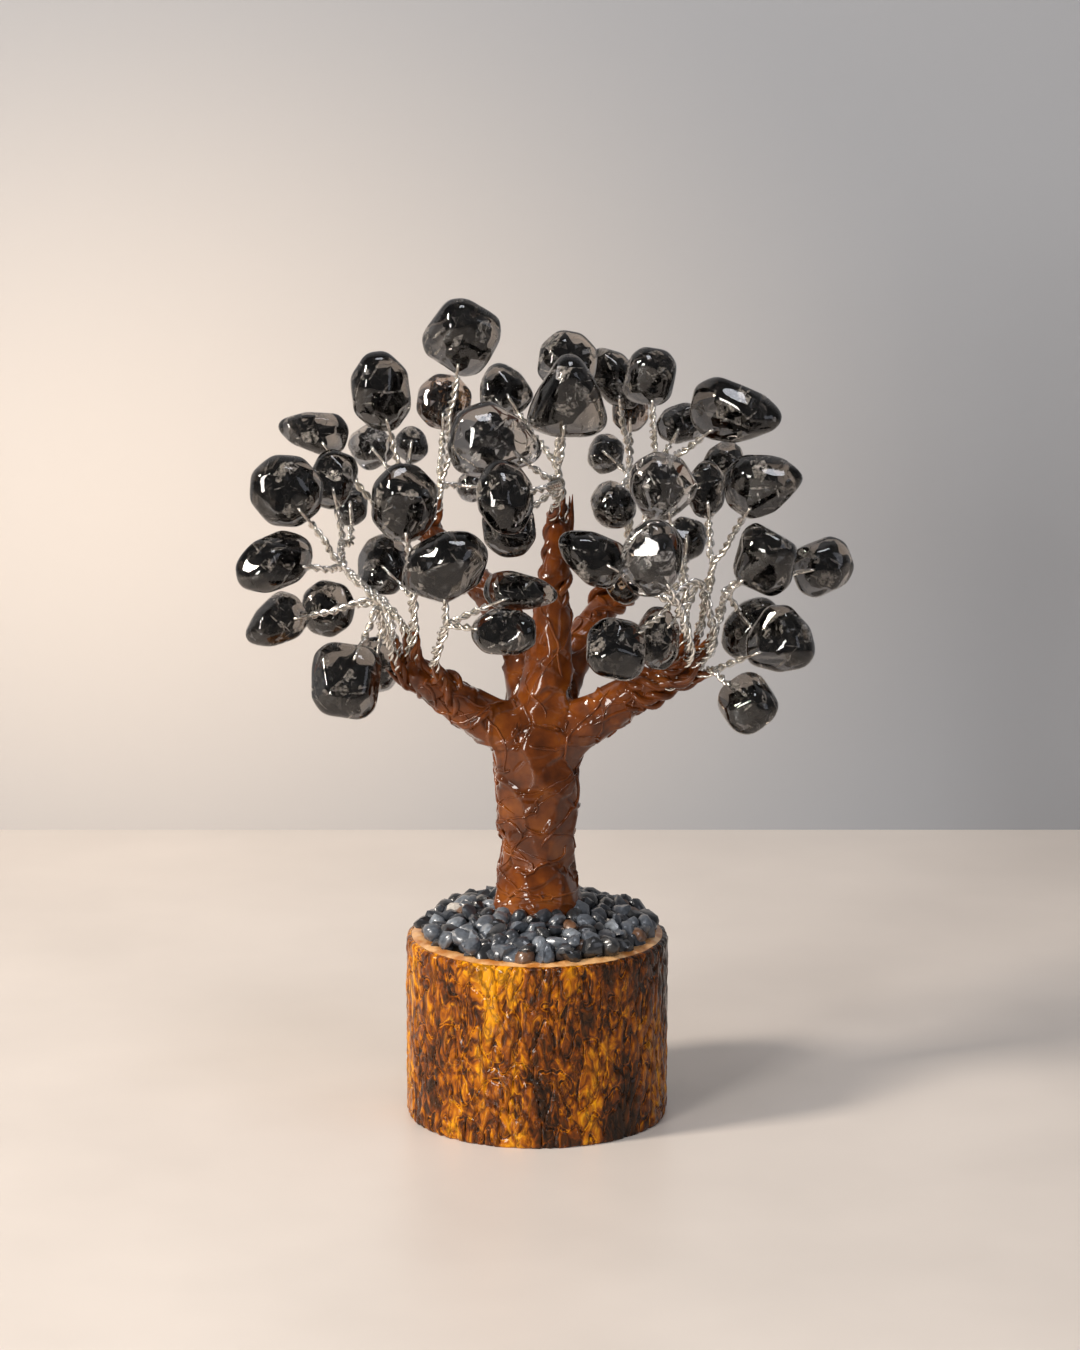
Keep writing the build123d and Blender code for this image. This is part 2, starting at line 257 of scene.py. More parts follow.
def smooth_path(points: list[Vector], steps: int) -> list[Vector]:
    """Sample a smooth curve through points.

    Args:
        points: Points that the curve passes through.
        steps: Samples for each stretch between two points.

    Returns:
        The sampled points, with both ends.
    """
    padded = [points[0] * 2 - points[1], *points, points[-1] * 2 - points[-2]]
    path = []
    for a, b, c, d in zip(padded, padded[1:], padded[2:], padded[3:]):
        for k in range(steps):
            t = k / steps
            path.append(
                0.5
                * (2 * b + (c - a) * t + (2 * a - 5 * b + 4 * c - d) * t**2 + (3 * b - a - 3 * c + d) * t**3)
            )
    return [*path, points[-1].copy()]


def wound(path: list[Vector], radius: float, pitch: float, phase: float) -> list[Vector]:
    """Wind a path round another with a steady turn.

    Args:
        path: The points that it winds round.
        radius: Its distance from them in metres.
        pitch: Length of one turn in metres.
        phase: Turn at its start in radians.

    Returns:
        The wound points.
    """
    side = (path[1] - path[0]).orthogonal().normalized()
    points = []
    run = 0.0
    for k, point in enumerate(path):
        ahead = (path[min(k + 1, len(path) - 1)] - path[max(k - 1, 0)]).normalized()
        side = (side - ahead * side.dot(ahead)).normalized()
        angle = phase + math.tau * run / pitch
        points.append(point + (side * math.cos(angle) + ahead.cross(side) * math.sin(angle)) * radius)
        run += (path[min(k + 1, len(path) - 1)] - point).length
    return points


def random_way(rng: random.Random) -> Vector:
    """A way of length 1 that is drawn at random."""
    return Vector([rng.gauss(0, 1) for _ in range(3)]).normalized()


def relax(points: np.ndarray, edges: np.ndarray, rounds: int, keep: float = 0.5) -> np.ndarray:
    """Draw each point of a mesh towards the mean of its neighbours.

    Args:
        points: Points of the mesh.
        edges: Index pairs of its edges.
        rounds: How many times.
        keep: Share of its own place that a point keeps each time.

    Returns:
        The moved points.
    """
    count = np.bincount(edges.ravel(), minlength=len(points))[:, None]
    for _ in range(rounds):
        total = np.zeros_like(points)
        np.add.at(total, edges[:, 0], points[edges[:, 1]])
        np.add.at(total, edges[:, 1], points[edges[:, 0]])
        points = keep * points + (1 - keep) * total / count
    return points


class StoneKind(Enum):
    """How dark a tumbled stone is; the value is the record's material slot."""

    SMOKY = "smoky_quartz"
    PALE = "pale_quartz"
    BROWN = "brown_quartz"


@dataclass(frozen=True)
class QuartzSkin:
    """Tumbled and polished quartz: clear at thin edges, smoky where it is thick.

    The tumbler leaves a wet gloss with shallow waves, and the tint grows with depth.
    """

    name: str
    tint: str
    depth_mm: float
    wave_mm: float = 3.6

    def material(self) -> Material:
        """Build the clear outer finish."""
        mat, tree, where = blank_material(self.name)
        waves = add_node(
            tree, "ShaderNodeTexNoise", {"Vector": where, "Scale": 1 / (self.wave_mm * MM), "Detail": 2.0}
        )
        bump = add_node(tree, "ShaderNodeBump", {"Height": waves, "Strength": 0.15, "Distance": 0.25 * MM})
        skin = add_node(
            tree, "ShaderNodeBsdfPrincipled",
            {
                "Base Color": linear("#F4F2EF"), "Roughness": 0.03, "IOR": 1.54, "Transmission Weight": 1.0,
                "Normal": bump,
            },
        )
        depth = add_node(
            tree, "ShaderNodeVolumeAbsorption",
            {"Color": linear(self.tint), "Density": 1 / (self.depth_mm * MM)},
        )
        add_node(tree, "ShaderNodeOutputMaterial", {"Surface": skin, "Volume": depth})
        return mat


@dataclass(frozen=True)
class QuartzHeart:
    """The smoky heart inside a stone: black clouds crossed by pale healed cracks, and a few facets painted
    pale, partly veils and partly painted glints that stand for light off inner fractures.
    """

    name: str
    dark: str
    cloud: str
    veil: str
    crack_mm: float = 4.2

    def material(self) -> Material:
        """Build the finish of the inner clouds."""
        mat, tree, where = blank_material(self.name)
        clouds = add_node(
            tree, "ShaderNodeTexNoise", {"Vector": where, "Scale": 1 / (3.2 * MM), "Detail": 4.0}
        )
        stops = ((0.52, self.dark), (0.8, self.cloud))
        shade = add_node(tree, "ShaderNodeValToRGB", {"Fac": clouds}, stops)
        spread = add_node(
            tree, "ShaderNodeVectorMath", {0: where, "Scale": 1 / (self.crack_mm * MM)}, operation="SCALE"
        )
        bent = add_node(
            tree, "ShaderNodeVectorMath", {0: clouds.outputs["Color"], 1: (1.8, 1.8, 1.8), 2: spread},
            operation="MULTIPLY_ADD",
        )
        cracks = add_node(
            tree, "ShaderNodeTexVoronoi", {"Vector": bent, "Scale": 1.0}, feature="DISTANCE_TO_EDGE"
        )
        line = add_node(
            tree, "ShaderNodeMapRange",
            {"Value": cracks.outputs["Distance"], 1: 0.0, 2: 0.035, 3: 1.0, 4: 0.0},
        )
        seen = add_node(tree, "ShaderNodeMapRange", {"Value": clouds, 1: 0.48, 2: 0.62, 3: 0.0, 4: 0.5})
        thin = add_node(tree, "ShaderNodeMath", {0: line, 1: seen}, operation="MULTIPLY")
        # A few facets painted pale: partly veils, partly painted glints that stand for light flashing off
        # inner fractures.
        facet = add_node(tree, "ShaderNodeAttribute", attribute_name="veil")
        painted_glint = add_node(
            tree, "ShaderNodeMapRange", {"Value": facet.outputs["Fac"], 1: 0.9, 2: 1.0, 3: 0.0, 4: 0.6}
        )
        both = add_node(tree, "ShaderNodeMath", {0: thin, 1: painted_glint}, operation="MAXIMUM")
        colour = add_node(tree, "ShaderNodeMix", {0: both, 6: shade, 7: linear(self.veil)}, data_type="RGBA")
        skin = add_node(
            tree, "ShaderNodeBsdfPrincipled", {"Base Color": colour.outputs[2], "Roughness": 0.2, "IOR": 1.5}
        )
        add_node(tree, "ShaderNodeOutputMaterial", {"Surface": skin})
        return mat


@dataclass(frozen=True)
class HealedCrack:
    """A healed crack in quartz: a thin pale film that flashes where it faces a lamp."""

    name: str
    film: str
    cover: float

    def material(self) -> Material:
        """Build the film."""
        mat, tree, where = blank_material(self.name)
        patch = add_node(
            tree, "ShaderNodeTexNoise", {"Vector": where, "Scale": 1 / (0.9 * MM), "Detail": 3.0}
        )
        cover = add_node(
            tree, "ShaderNodeMapRange", {"Value": patch, 1: 0.4, 2: 0.65, 3: 0.0, 4: self.cover * 2}
        )
        skin = add_node(
            tree, "ShaderNodeBsdfPrincipled",
            {"Base Color": linear(self.film), "Roughness": 0.12, "IOR": 2.2, "Alpha": cover},
        )
        add_node(tree, "ShaderNodeOutputMaterial", {"Surface": skin})
        return mat


@dataclass(frozen=True)
class DrawnWire:
    """Drawn craft wire, silver plated: bright and a little warm, duller where fingers have bent it."""

    name: str = "drawn_silver_wire"
    bright: str = "#F3F0EA"
    dull: str = "#CDC8BD"
    blotch_mm: float = 4.0

    def material(self) -> Material:
        """Build the metal."""
        mat, tree, where = blank_material(self.name)
        blotch = add_node(
            tree, "ShaderNodeTexNoise", {"Vector": where, "Scale": 1 / (self.blotch_mm * MM), "Detail": 3.0}
        )
        stops = ((0.35, self.dull), (0.62, self.bright))
        shade = add_node(tree, "ShaderNodeValToRGB", {"Fac": blotch}, stops)
        rough = add_node(tree, "ShaderNodeMapRange", {"Value": blotch, 3: 0.3, 4: 0.16})
        skin = add_node(
            tree, "ShaderNodeBsdfPrincipled", {"Base Color": shade, "Metallic": 1.0, "Roughness": rough}
        )
        add_node(tree, "ShaderNodeOutputMaterial", {"Surface": skin})
        return mat


@dataclass(frozen=True)
class LacqueredTape:
    """Brown stretch tape under thick lacquer: a wet gloss over wrinkles, redder where it is thin."""

    name: str = "lacquered_stretch_tape"
    deep: str = "#46210A"
    mid: str = "#63300C"
    thin: str = "#7E4413"
    wrinkle_mm: float = 3.0

    def material(self) -> Material:
        """Build the lacquered wrap."""
        mat, tree, where = blank_material(self.name)
        patch = add_node(tree, "ShaderNodeTexNoise", {"Vector": where, "Scale": 1 / (5 * MM), "Detail": 4.0})
        stops = ((0.32, self.deep), (0.5, self.mid), (0.72, self.thin))
        shade = add_node(tree, "ShaderNodeValToRGB", {"Fac": patch}, stops)
        seam = add_node(tree, "ShaderNodeAttribute", attribute_name="seam")
        dim = add_node(
            tree, "ShaderNodeMapRange", {"Value": seam.outputs["Fac"], 1: 0.2, 2: 1.0, 3: 1.0, 4: 0.72}
        )
        colour = add_node(tree, "ShaderNodeVectorMath", {0: shade, "Scale": dim}, operation="SCALE")
        wrinkle = add_node(
            tree, "ShaderNodeTexNoise",
            {"Vector": where, "Scale": 1 / (self.wrinkle_mm * MM), "Detail": 3.0, "Distortion": 1.2},
        )
        bump = add_node(tree, "ShaderNodeBump", {"Height": wrinkle, "Strength": 0.2, "Distance": 0.3 * MM})
        skin = add_node(
            tree, "ShaderNodeBsdfPrincipled",
            {
                "Base Color": colour, "Roughness": 0.4, "Specular IOR Level": 0.05, "Coat Weight": 1.0,
                "Coat Roughness": 0.03, "Coat IOR": 1.38, "Normal": bump, "Coat Normal": bump,
            },
        )
        add_node(tree, "ShaderNodeOutputMaterial", {"Surface": skin})
        return mat


@dataclass(frozen=True)
class VarnishedBark:
    """Bark under amber varnish: dark in its furrows, gold where the varnish pools, with beads that glint.

    The lumps and beads are drawn a little coarser than on a real twig, so that they show. Its colour also
    holds painted light: a painted highlight along the slopes between plates and furrows, and painted shade
    towards its right side.
    """

    name: str = "amber_varnished_bark"
    furrow: str = "#241204"
    plate: str = "#40230A"
    russet: str = "#6A3206"
    amber: str = "#A35C04"
    gold: str = "#D6900C"
    lump_mm: float = 2.6
    lump_length_mm: float = 5.2
    band_mm: float = 12.0
    bead_mm: float = 1.5

    def material(self) -> Material:
        """Build the varnished bark."""
        mat, tree, where = blank_material(self.name)
        across = 1 / (self.lump_mm * MM)
        stretched = add_node(
            tree, "ShaderNodeMapping",
            {"Vector": where, "Scale": (across, across, 1 / (self.lump_length_mm * MM))},
        )
        swirl = add_node(
            tree, "ShaderNodeTexNoise",
            {"Vector": stretched, "Scale": 1.0, "Detail": 4.0, "Roughness": 0.55, "Distortion": 1.8},
        )
        wide = 1 / (self.band_mm * MM)
        tall = add_node(
            tree, "ShaderNodeMapping",
            {"Vector": where, "Location": (-0.75, 0.1, 0.0), "Scale": (wide, wide, wide / 3)},
        )
        band = add_node(tree, "ShaderNodeTexNoise", {"Vector": tall, "Scale": 1.0, "Detail": 2.0})
        both = add_node(tree, "ShaderNodeMath", {0: band, 1: 1.35, 2: swirl}, operation="MULTIPLY_ADD")
        relief = add_node(tree, "ShaderNodeAttribute", attribute_name="relief")
        high = add_node(
            tree, "ShaderNodeMath", {0: relief.outputs["Fac"], 1: 0.3, 2: both}, operation="MULTIPLY_ADD"
        )
        # Painted highlight: the tone rises by 0.2 where the relief is halfway between furrow and plate. This
        # gold line stands for crevice rims that catch the light.
        off_painted_highlight = add_node(tree, "ShaderNodeMath", {0: relief.outputs["Fac"], 1: 0.5}, operation="SUBTRACT")
        away = add_node(tree, "ShaderNodeMath", {0: off_painted_highlight}, operation="ABSOLUTE")
        rim = add_node(tree, "ShaderNodeMapRange", {"Value": away, 1: 0.02, 2: 0.12, 3: 0.2, 4: 0.0})
        tone = add_node(tree, "ShaderNodeMath", {0: high, 1: rim}, operation="ADD")
        # Painted shade: the tone drops by up to 0.27 from x = 2 mm to x = 22 mm, so the log's right side is
        # darker.
        parts = add_node(tree, "ShaderNodeSeparateXYZ", {0: where})
        painted_right_shade = add_node(
            tree, "ShaderNodeMapRange", {"Value": parts.outputs["X"], 1: 2 * MM, 2: 22 * MM, 3: 0.0, 4: 0.27}
        )
        tone_with_painted_shade = add_node(tree, "ShaderNodeMath", {0: tone, 1: painted_right_shade}, operation="SUBTRACT")
        scaled = add_node(tree, "ShaderNodeMapRange", {"Value": tone_with_painted_shade, 1: 0.97, 2: 1.68})
        stops = (
            (0.05, self.furrow), (0.28, self.plate), (0.45, self.russet), (0.65, self.amber),
            (0.9, self.gold),
        )
        shade = add_node(tree, "ShaderNodeValToRGB", {"Fac": scaled}, stops)
        bent = add_node(
            tree, "ShaderNodeVectorMath", {0: swirl.outputs["Color"], 1: (1.1, 1.1, 1.1), 2: stretched},
            operation="MULTIPLY_ADD",
        )
        cells = add_node(
            tree, "ShaderNodeTexVoronoi", {"Vector": bent, "Scale": 0.8}, feature="DISTANCE_TO_EDGE"
        )
        crevice = add_node(
            tree, "ShaderNodeMapRange", {"Value": cells.outputs["Distance"], 1: 0.0, 2: 0.11, 3: 0.4, 4: 1.0}
        )
        colour = add_node(tree, "ShaderNodeVectorMath", {0: shade, "Scale": crevice}, operation="SCALE")
        lumps = add_node(tree, "ShaderNodeMath", {0: crevice, 1: 0.6, 2: swirl}, operation="MULTIPLY_ADD")
        beads = add_node(tree, "ShaderNodeTexVoronoi", {"Vector": where, "Scale": 1 / (self.bead_mm * MM)})
        dome = add_node(
            tree, "ShaderNodeMapRange", {"Value": beads.outputs["Distance"], 1: 0.0, 2: 0.34, 3: 1.0, 4: 0.0},
            interpolation_type="SMOOTHSTEP",
        )
        some = add_node(
            tree, "ShaderNodeMath", {0: beads.outputs["Color"], 1: 0.35}, operation="GREATER_THAN"
        )
        bead = add_node(tree, "ShaderNodeMath", {0: dome, 1: some}, operation="MULTIPLY")
        bump = add_node(tree, "ShaderNodeBump", {"Height": lumps, "Strength": 0.8, "Distance": 0.7 * MM})
        wet = add_node(tree, "ShaderNodeBump", {"Height": bead, "Strength": 1.0, "Distance": 0.55 * MM})
        skin = add_node(
            tree, "ShaderNodeBsdfPrincipled",
            {
                "Base Color": colour, "Roughness": 0.5, "Specular IOR Level": 0.05, "Coat Weight": 0.7,
                "Coat Roughness": 0.03, "Coat IOR": 1.33, "Normal": bump, "Coat Normal": wet,
            },
        )
        add_node(tree, "ShaderNodeOutputMaterial", {"Surface": skin})
        return mat


@dataclass(frozen=True)
class SawnWood:
    """Sawn branch wood, sealed: pale tan end grain with saw marks and amber stain at its edge."""

    name: str = "sawn_branch_wood"
    pale: str = "#E2B077"
    stain: str = "#B8742F"
    grain_mm: float = 0.8

    def material(self) -> Material:
        """Build the end grain."""
        mat, tree, where = blank_material(self.name)
        grain = add_node(
            tree, "ShaderNodeTexNoise", {"Vector": where, "Scale": 1 / (self.grain_mm * MM), "Detail": 3.0}
        )
        blotch = add_node(
            tree, "ShaderNodeTexNoise", {"Vector": where, "Scale": 1 / (3.5 * MM), "Detail": 3.0}
        )
        stops = ((0.38, self.stain), (0.6, self.pale))
        shade = add_node(tree, "ShaderNodeValToRGB", {"Fac": blotch}, stops)
        bump = add_node(tree, "ShaderNodeBump", {"Height": grain, "Strength": 0.5, "Distance": 0.3 * MM})
        skin = add_node(
            tree, "ShaderNodeBsdfPrincipled",
            {"Base Color": shade, "Roughness": 0.45, "Coat Weight": 0.4, "Normal": bump},
        )
        add_node(tree, "ShaderNodeOutputMaterial", {"Surface": skin})
        return mat


@dataclass(frozen=True)
class SlateChip:
    """Crushed and tumbled slate: blue-grey to black, satin, with a few rusty or chalky chips."""

    name: str = "tumbled_slate_chips"
    tones: tuple[tuple[float, str], ...] = (
        (0.0, "#1E2023"),
        (0.25, "#31353B"),
        (0.55, "#4C525A"),
        (0.82, "#737A82"),
        (0.93, "#5E4330"),
        (0.965, "#7A6552"),
        (0.985, "#B9B4AC"),
    )
    grit_mm: float = 0.9

    def material(self) -> Material:
        """Build the chips' finish, one tone to a chip."""
        mat, tree, where = blank_material(self.name)
        tone = add_node(tree, "ShaderNodeAttribute", attribute_name="chip_tone")
        shade = add_node(tree, "ShaderNodeValToRGB", {"Fac": tone.outputs["Fac"]}, self.tones)
        shade.color_ramp.interpolation = "CONSTANT"
        grit = add_node(
            tree, "ShaderNodeTexNoise", {"Vector": where, "Scale": 1 / (self.grit_mm * MM), "Detail": 4.0}
        )
        mottle = add_node(tree, "ShaderNodeMapRange", {"Value": grit, 1: 0.3, 2: 0.7, 3: 0.65, 4: 1.35})
        colour = add_node(tree, "ShaderNodeVectorMath", {0: shade, "Scale": mottle}, operation="SCALE")
        bump = add_node(tree, "ShaderNodeBump", {"Height": grit, "Strength": 0.4, "Distance": 0.25 * MM})
        skin = add_node(
            tree, "ShaderNodeBsdfPrincipled",
            {
                "Base Color": colour, "Roughness": 0.3, "Coat Weight": 0.6, "Coat Roughness": 0.1,
                "Normal": bump,
            },
        )
        add_node(tree, "ShaderNodeOutputMaterial", {"Surface": skin})
        return mat


@dataclass(frozen=True)
class PlainFinish:
    """A plain surface with a faint mottle, for hidden pieces and the stage."""

    name: str
    colour: str
    roughness: float
    mottle_mm: float
    metallic: float = 0.0

    def material(self) -> Material:
        """Build the finish."""
        mat, tree, where = blank_material(self.name)
        spots = add_node(
            tree, "ShaderNodeTexNoise", {"Vector": where, "Scale": 1 / (self.mottle_mm * MM), "Detail": 3.0}
        )
        level = add_node(tree, "ShaderNodeMapRange", {"Value": spots, 1: 0.3, 2: 0.7, 3: 0.95, 4: 1.05})
        shade = add_node(
            tree, "ShaderNodeVectorMath", {0: linear(self.colour)[:3], "Scale": level}, operation="SCALE"
        )
        skin = add_node(
            tree, "ShaderNodeBsdfPrincipled",
            {"Base Color": shade, "Roughness": self.roughness, "Metallic": self.metallic},
        )
        add_node(tree, "ShaderNodeOutputMaterial", {"Surface": skin})
        return mat


@dataclass(frozen=True)
class PaperWithPaintedGlow:
    """Matt backdrop paper: grey with one broad warm painted glow, a pool of light painted into its colour,
    and clear when it is seen from behind.
    """

    name: str = "matt_backdrop_paper"
    grey: str = "#93969B"
    # pale is the colour at the middle of the painted glow; middle and spread place and size it, in metres.
    pale: str = "#D4CCC4"
    middle: Share = (-0.11, 0.0, 0.085)
    spread: Share = (0.24, 100.0, 0.19)

    def material(self) -> Material:
        """Build the paper."""
        mat, tree, where = blank_material(self.name)
        # Painted glow: the grey turns warm and pale round middle, a pool of light painted into the paper's
        # colour.
        offset = add_node(tree, "ShaderNodeVectorMath", {0: where, 1: self.middle}, operation="SUBTRACT")
        scaled = add_node(tree, "ShaderNodeVectorMath", {0: offset, 1: self.spread}, operation="DIVIDE")
        away = add_node(tree, "ShaderNodeVectorMath", {0: scaled}, operation="LENGTH")
        level = add_node(
            tree, "ShaderNodeMapRange", {"Value": away.outputs["Value"], 1: 0.0, 2: 1.0, 3: 0.9, 4: 0.0},
            interpolation_type="SMOOTHSTEP",
        )
        colour = add_node(
            tree, "ShaderNodeMix", {0: level, 6: linear(self.grey), 7: linear(self.pale)}, data_type="RGBA"
        )
        skin = add_node(tree, "ShaderNodeBsdfPrincipled", {"Base Color": colour.outputs[2], "Roughness": 0.9})
        clear = add_node(tree, "ShaderNodeBsdfTransparent")
        side = add_node(tree, "ShaderNodeNewGeometry")
        both = add_node(tree, "ShaderNodeMixShader", {0: side.outputs["Backfacing"], 1: skin, 2: clear})
        add_node(tree, "ShaderNodeOutputMaterial", {"Surface": both})
        return mat


@dataclass(frozen=True)
class Branch:
    """A bundle of wires from a limb's mouth to its fork, and the stones on it.

    Bends and places are shares of the crown's half sizes. A branch with a root leaves the limb's side, that
    share of the way from its middle to its tip; the others leave its mouth.
    """

    name: str
    bends: tuple[Share, ...]
    places: tuple[Share, ...]
    root: float | None = None


@dataclass(frozen=True)
class Limb:
    """A limb of the trunk: its middle and tip as shares of the crown, and its branches in their order."""

    name: str
    middle: Share
    tip: Share
    first_turn: float
    branches: tuple[Branch, ...]


LIMBS = (
    Limb("left", (-0.22, -0.05, -0.95), (-0.39, -0.15, -0.75), 100, (
        Branch("hang", ((-0.47, -0.30, -0.60), (-0.51, -0.50, -0.36)), ((-0.61, -0.65, -0.68),)),
        Branch("front", ((-0.33, -0.38, -0.64), (-0.29, -0.55, -0.42)),
               ((-0.29, -0.80, -0.09), (-0.05, -0.50, -0.27), (-0.10, -0.85, -0.40)), 0.55),
        Branch("up", ((-0.40, -0.28, -0.35),), ((-0.42, -0.55, 0.18), (-0.51, 0.40, -0.31))),
        Branch("out", ((-0.44, -0.17, -0.49), (-0.61, -0.05, -0.26)),
               ((-0.81, -0.10, 0.16), (-0.67, 0.23, 0.16), (-0.84, -0.40, -0.14), (-0.62, 0.68, -0.05))),
        Branch("low", ((-0.46, -0.03, -0.61), (-0.50, 0.07, -0.43)),
               ((-0.85, -0.10, -0.50), (-0.69, 0.25, -0.50), (-0.53, 0.20, -0.78))),
    )),
    Limb("right", (0.25, -0.05, -0.93), (0.46, -0.15, -0.74), 160, (
        Branch("up", ((0.53, 0.00, -0.56), (0.57, -0.07, -0.22)), ((0.73, -0.28, 0.23), (0.55, 0.05, 0.14))),
        Branch("out", ((0.56, -0.17, -0.58), (0.61, -0.20, -0.33)),
               ((0.73, -0.47, -0.11), (0.93, 0.00, -0.24), (0.70, 0.05, -0.56))),
        Branch("tall", ((0.48, -0.15, -0.54), (0.48, -0.20, -0.33)),
               ((0.40, -0.45, 0.24), (0.49, 0.25, -0.14), (0.28, -0.15, -0.30))),
        Branch("in", ((0.49, -0.44, -0.57), (0.45, -0.62, -0.32)),
               ((0.17, -0.60, -0.07), (0.36, -0.90, -0.03))),
        Branch("front", ((0.57, -0.30, -0.55), (0.53, -0.30, -0.28)),
               ((0.25, -0.85, -0.48), (0.39, -0.40, -0.52))),
        Branch("low", ((0.57, -0.30, -0.70),), ((0.79, -0.40, -0.54), (0.67, -0.68, -0.79))),
    )),
    Limb("leader", (0.04, 0.03, -0.71), (0.07, 0.10, -0.07), 55, (
        Branch("top", ((0.07, 0.12, 0.21),), ((0.10, -0.07, 0.63), (0.10, 0.25, 0.75), (-0.11, 0.45, 0.58))),
        Branch(
            "side", ((0.07, -0.20, 0.20),), ((-0.13, -0.40, 0.45), (-0.10, -0.75, 0.24), (-0.09, -0.28, 0.01))
        ),
    )),
    Limb("back_left", (-0.09, 0.30, -0.60), (-0.34, 0.63, -0.21), 220, (
        Branch(
            "mid", ((-0.44, 0.40, 0.09),), ((-0.51, 0.25, 0.60), (-0.55, 0.65, 0.26), (-0.42, 0.85, 0.23))
        ),
        Branch(
            "top", ((-0.32, 0.60, 0.07),), ((-0.24, 0.20, 0.88), (-0.31, 0.75, 0.47), (-0.22, 0.85, 0.02))
        ),
        Branch("out", ((-0.44, 0.62, -0.17), (-0.52, 0.45, -0.02)), ((-0.74, 0.50, 0.36),)),
    )),
    Limb("back_right", (0.14, 0.33, -0.71), (0.30, 0.64, -0.43), 185, (
        Branch("top", ((0.31, 0.60, 0.13),),
               ((0.26, 0.55, 0.62), (0.31, 0.75, 0.42), (0.23, 0.90, 0.18), (0.25, 0.25, 0.03))),
        Branch("mid", ((0.35, 0.50, -0.20), (0.39, 0.55, 0.14)),
               ((0.37, 0.23, 0.68), (0.65, 0.20, 0.51), (0.48, 0.70, 0.37))),
        Branch("out", ((0.41, 0.60, -0.30), (0.55, 0.50, -0.21)), ((0.61, 0.50, 0.16),)),
    )),
)


@dataclass(frozen=True)
class Crown:
    """The space that the stones fill: half sizes and the height of its middle, in mm."""

    half_width: float = 64.0
    half_depth: float = 40.0
    half_height: float = 42.0
    height: float = 128.0

    def place(self, shares: Share) -> Vector:
        """A point of the crown in metres from its shares of the half sizes."""
        x, y, z = shares
        return Vector((x * self.half_width, y * self.half_depth, self.height + z * self.half_height)) * MM


CROWN = Crown()


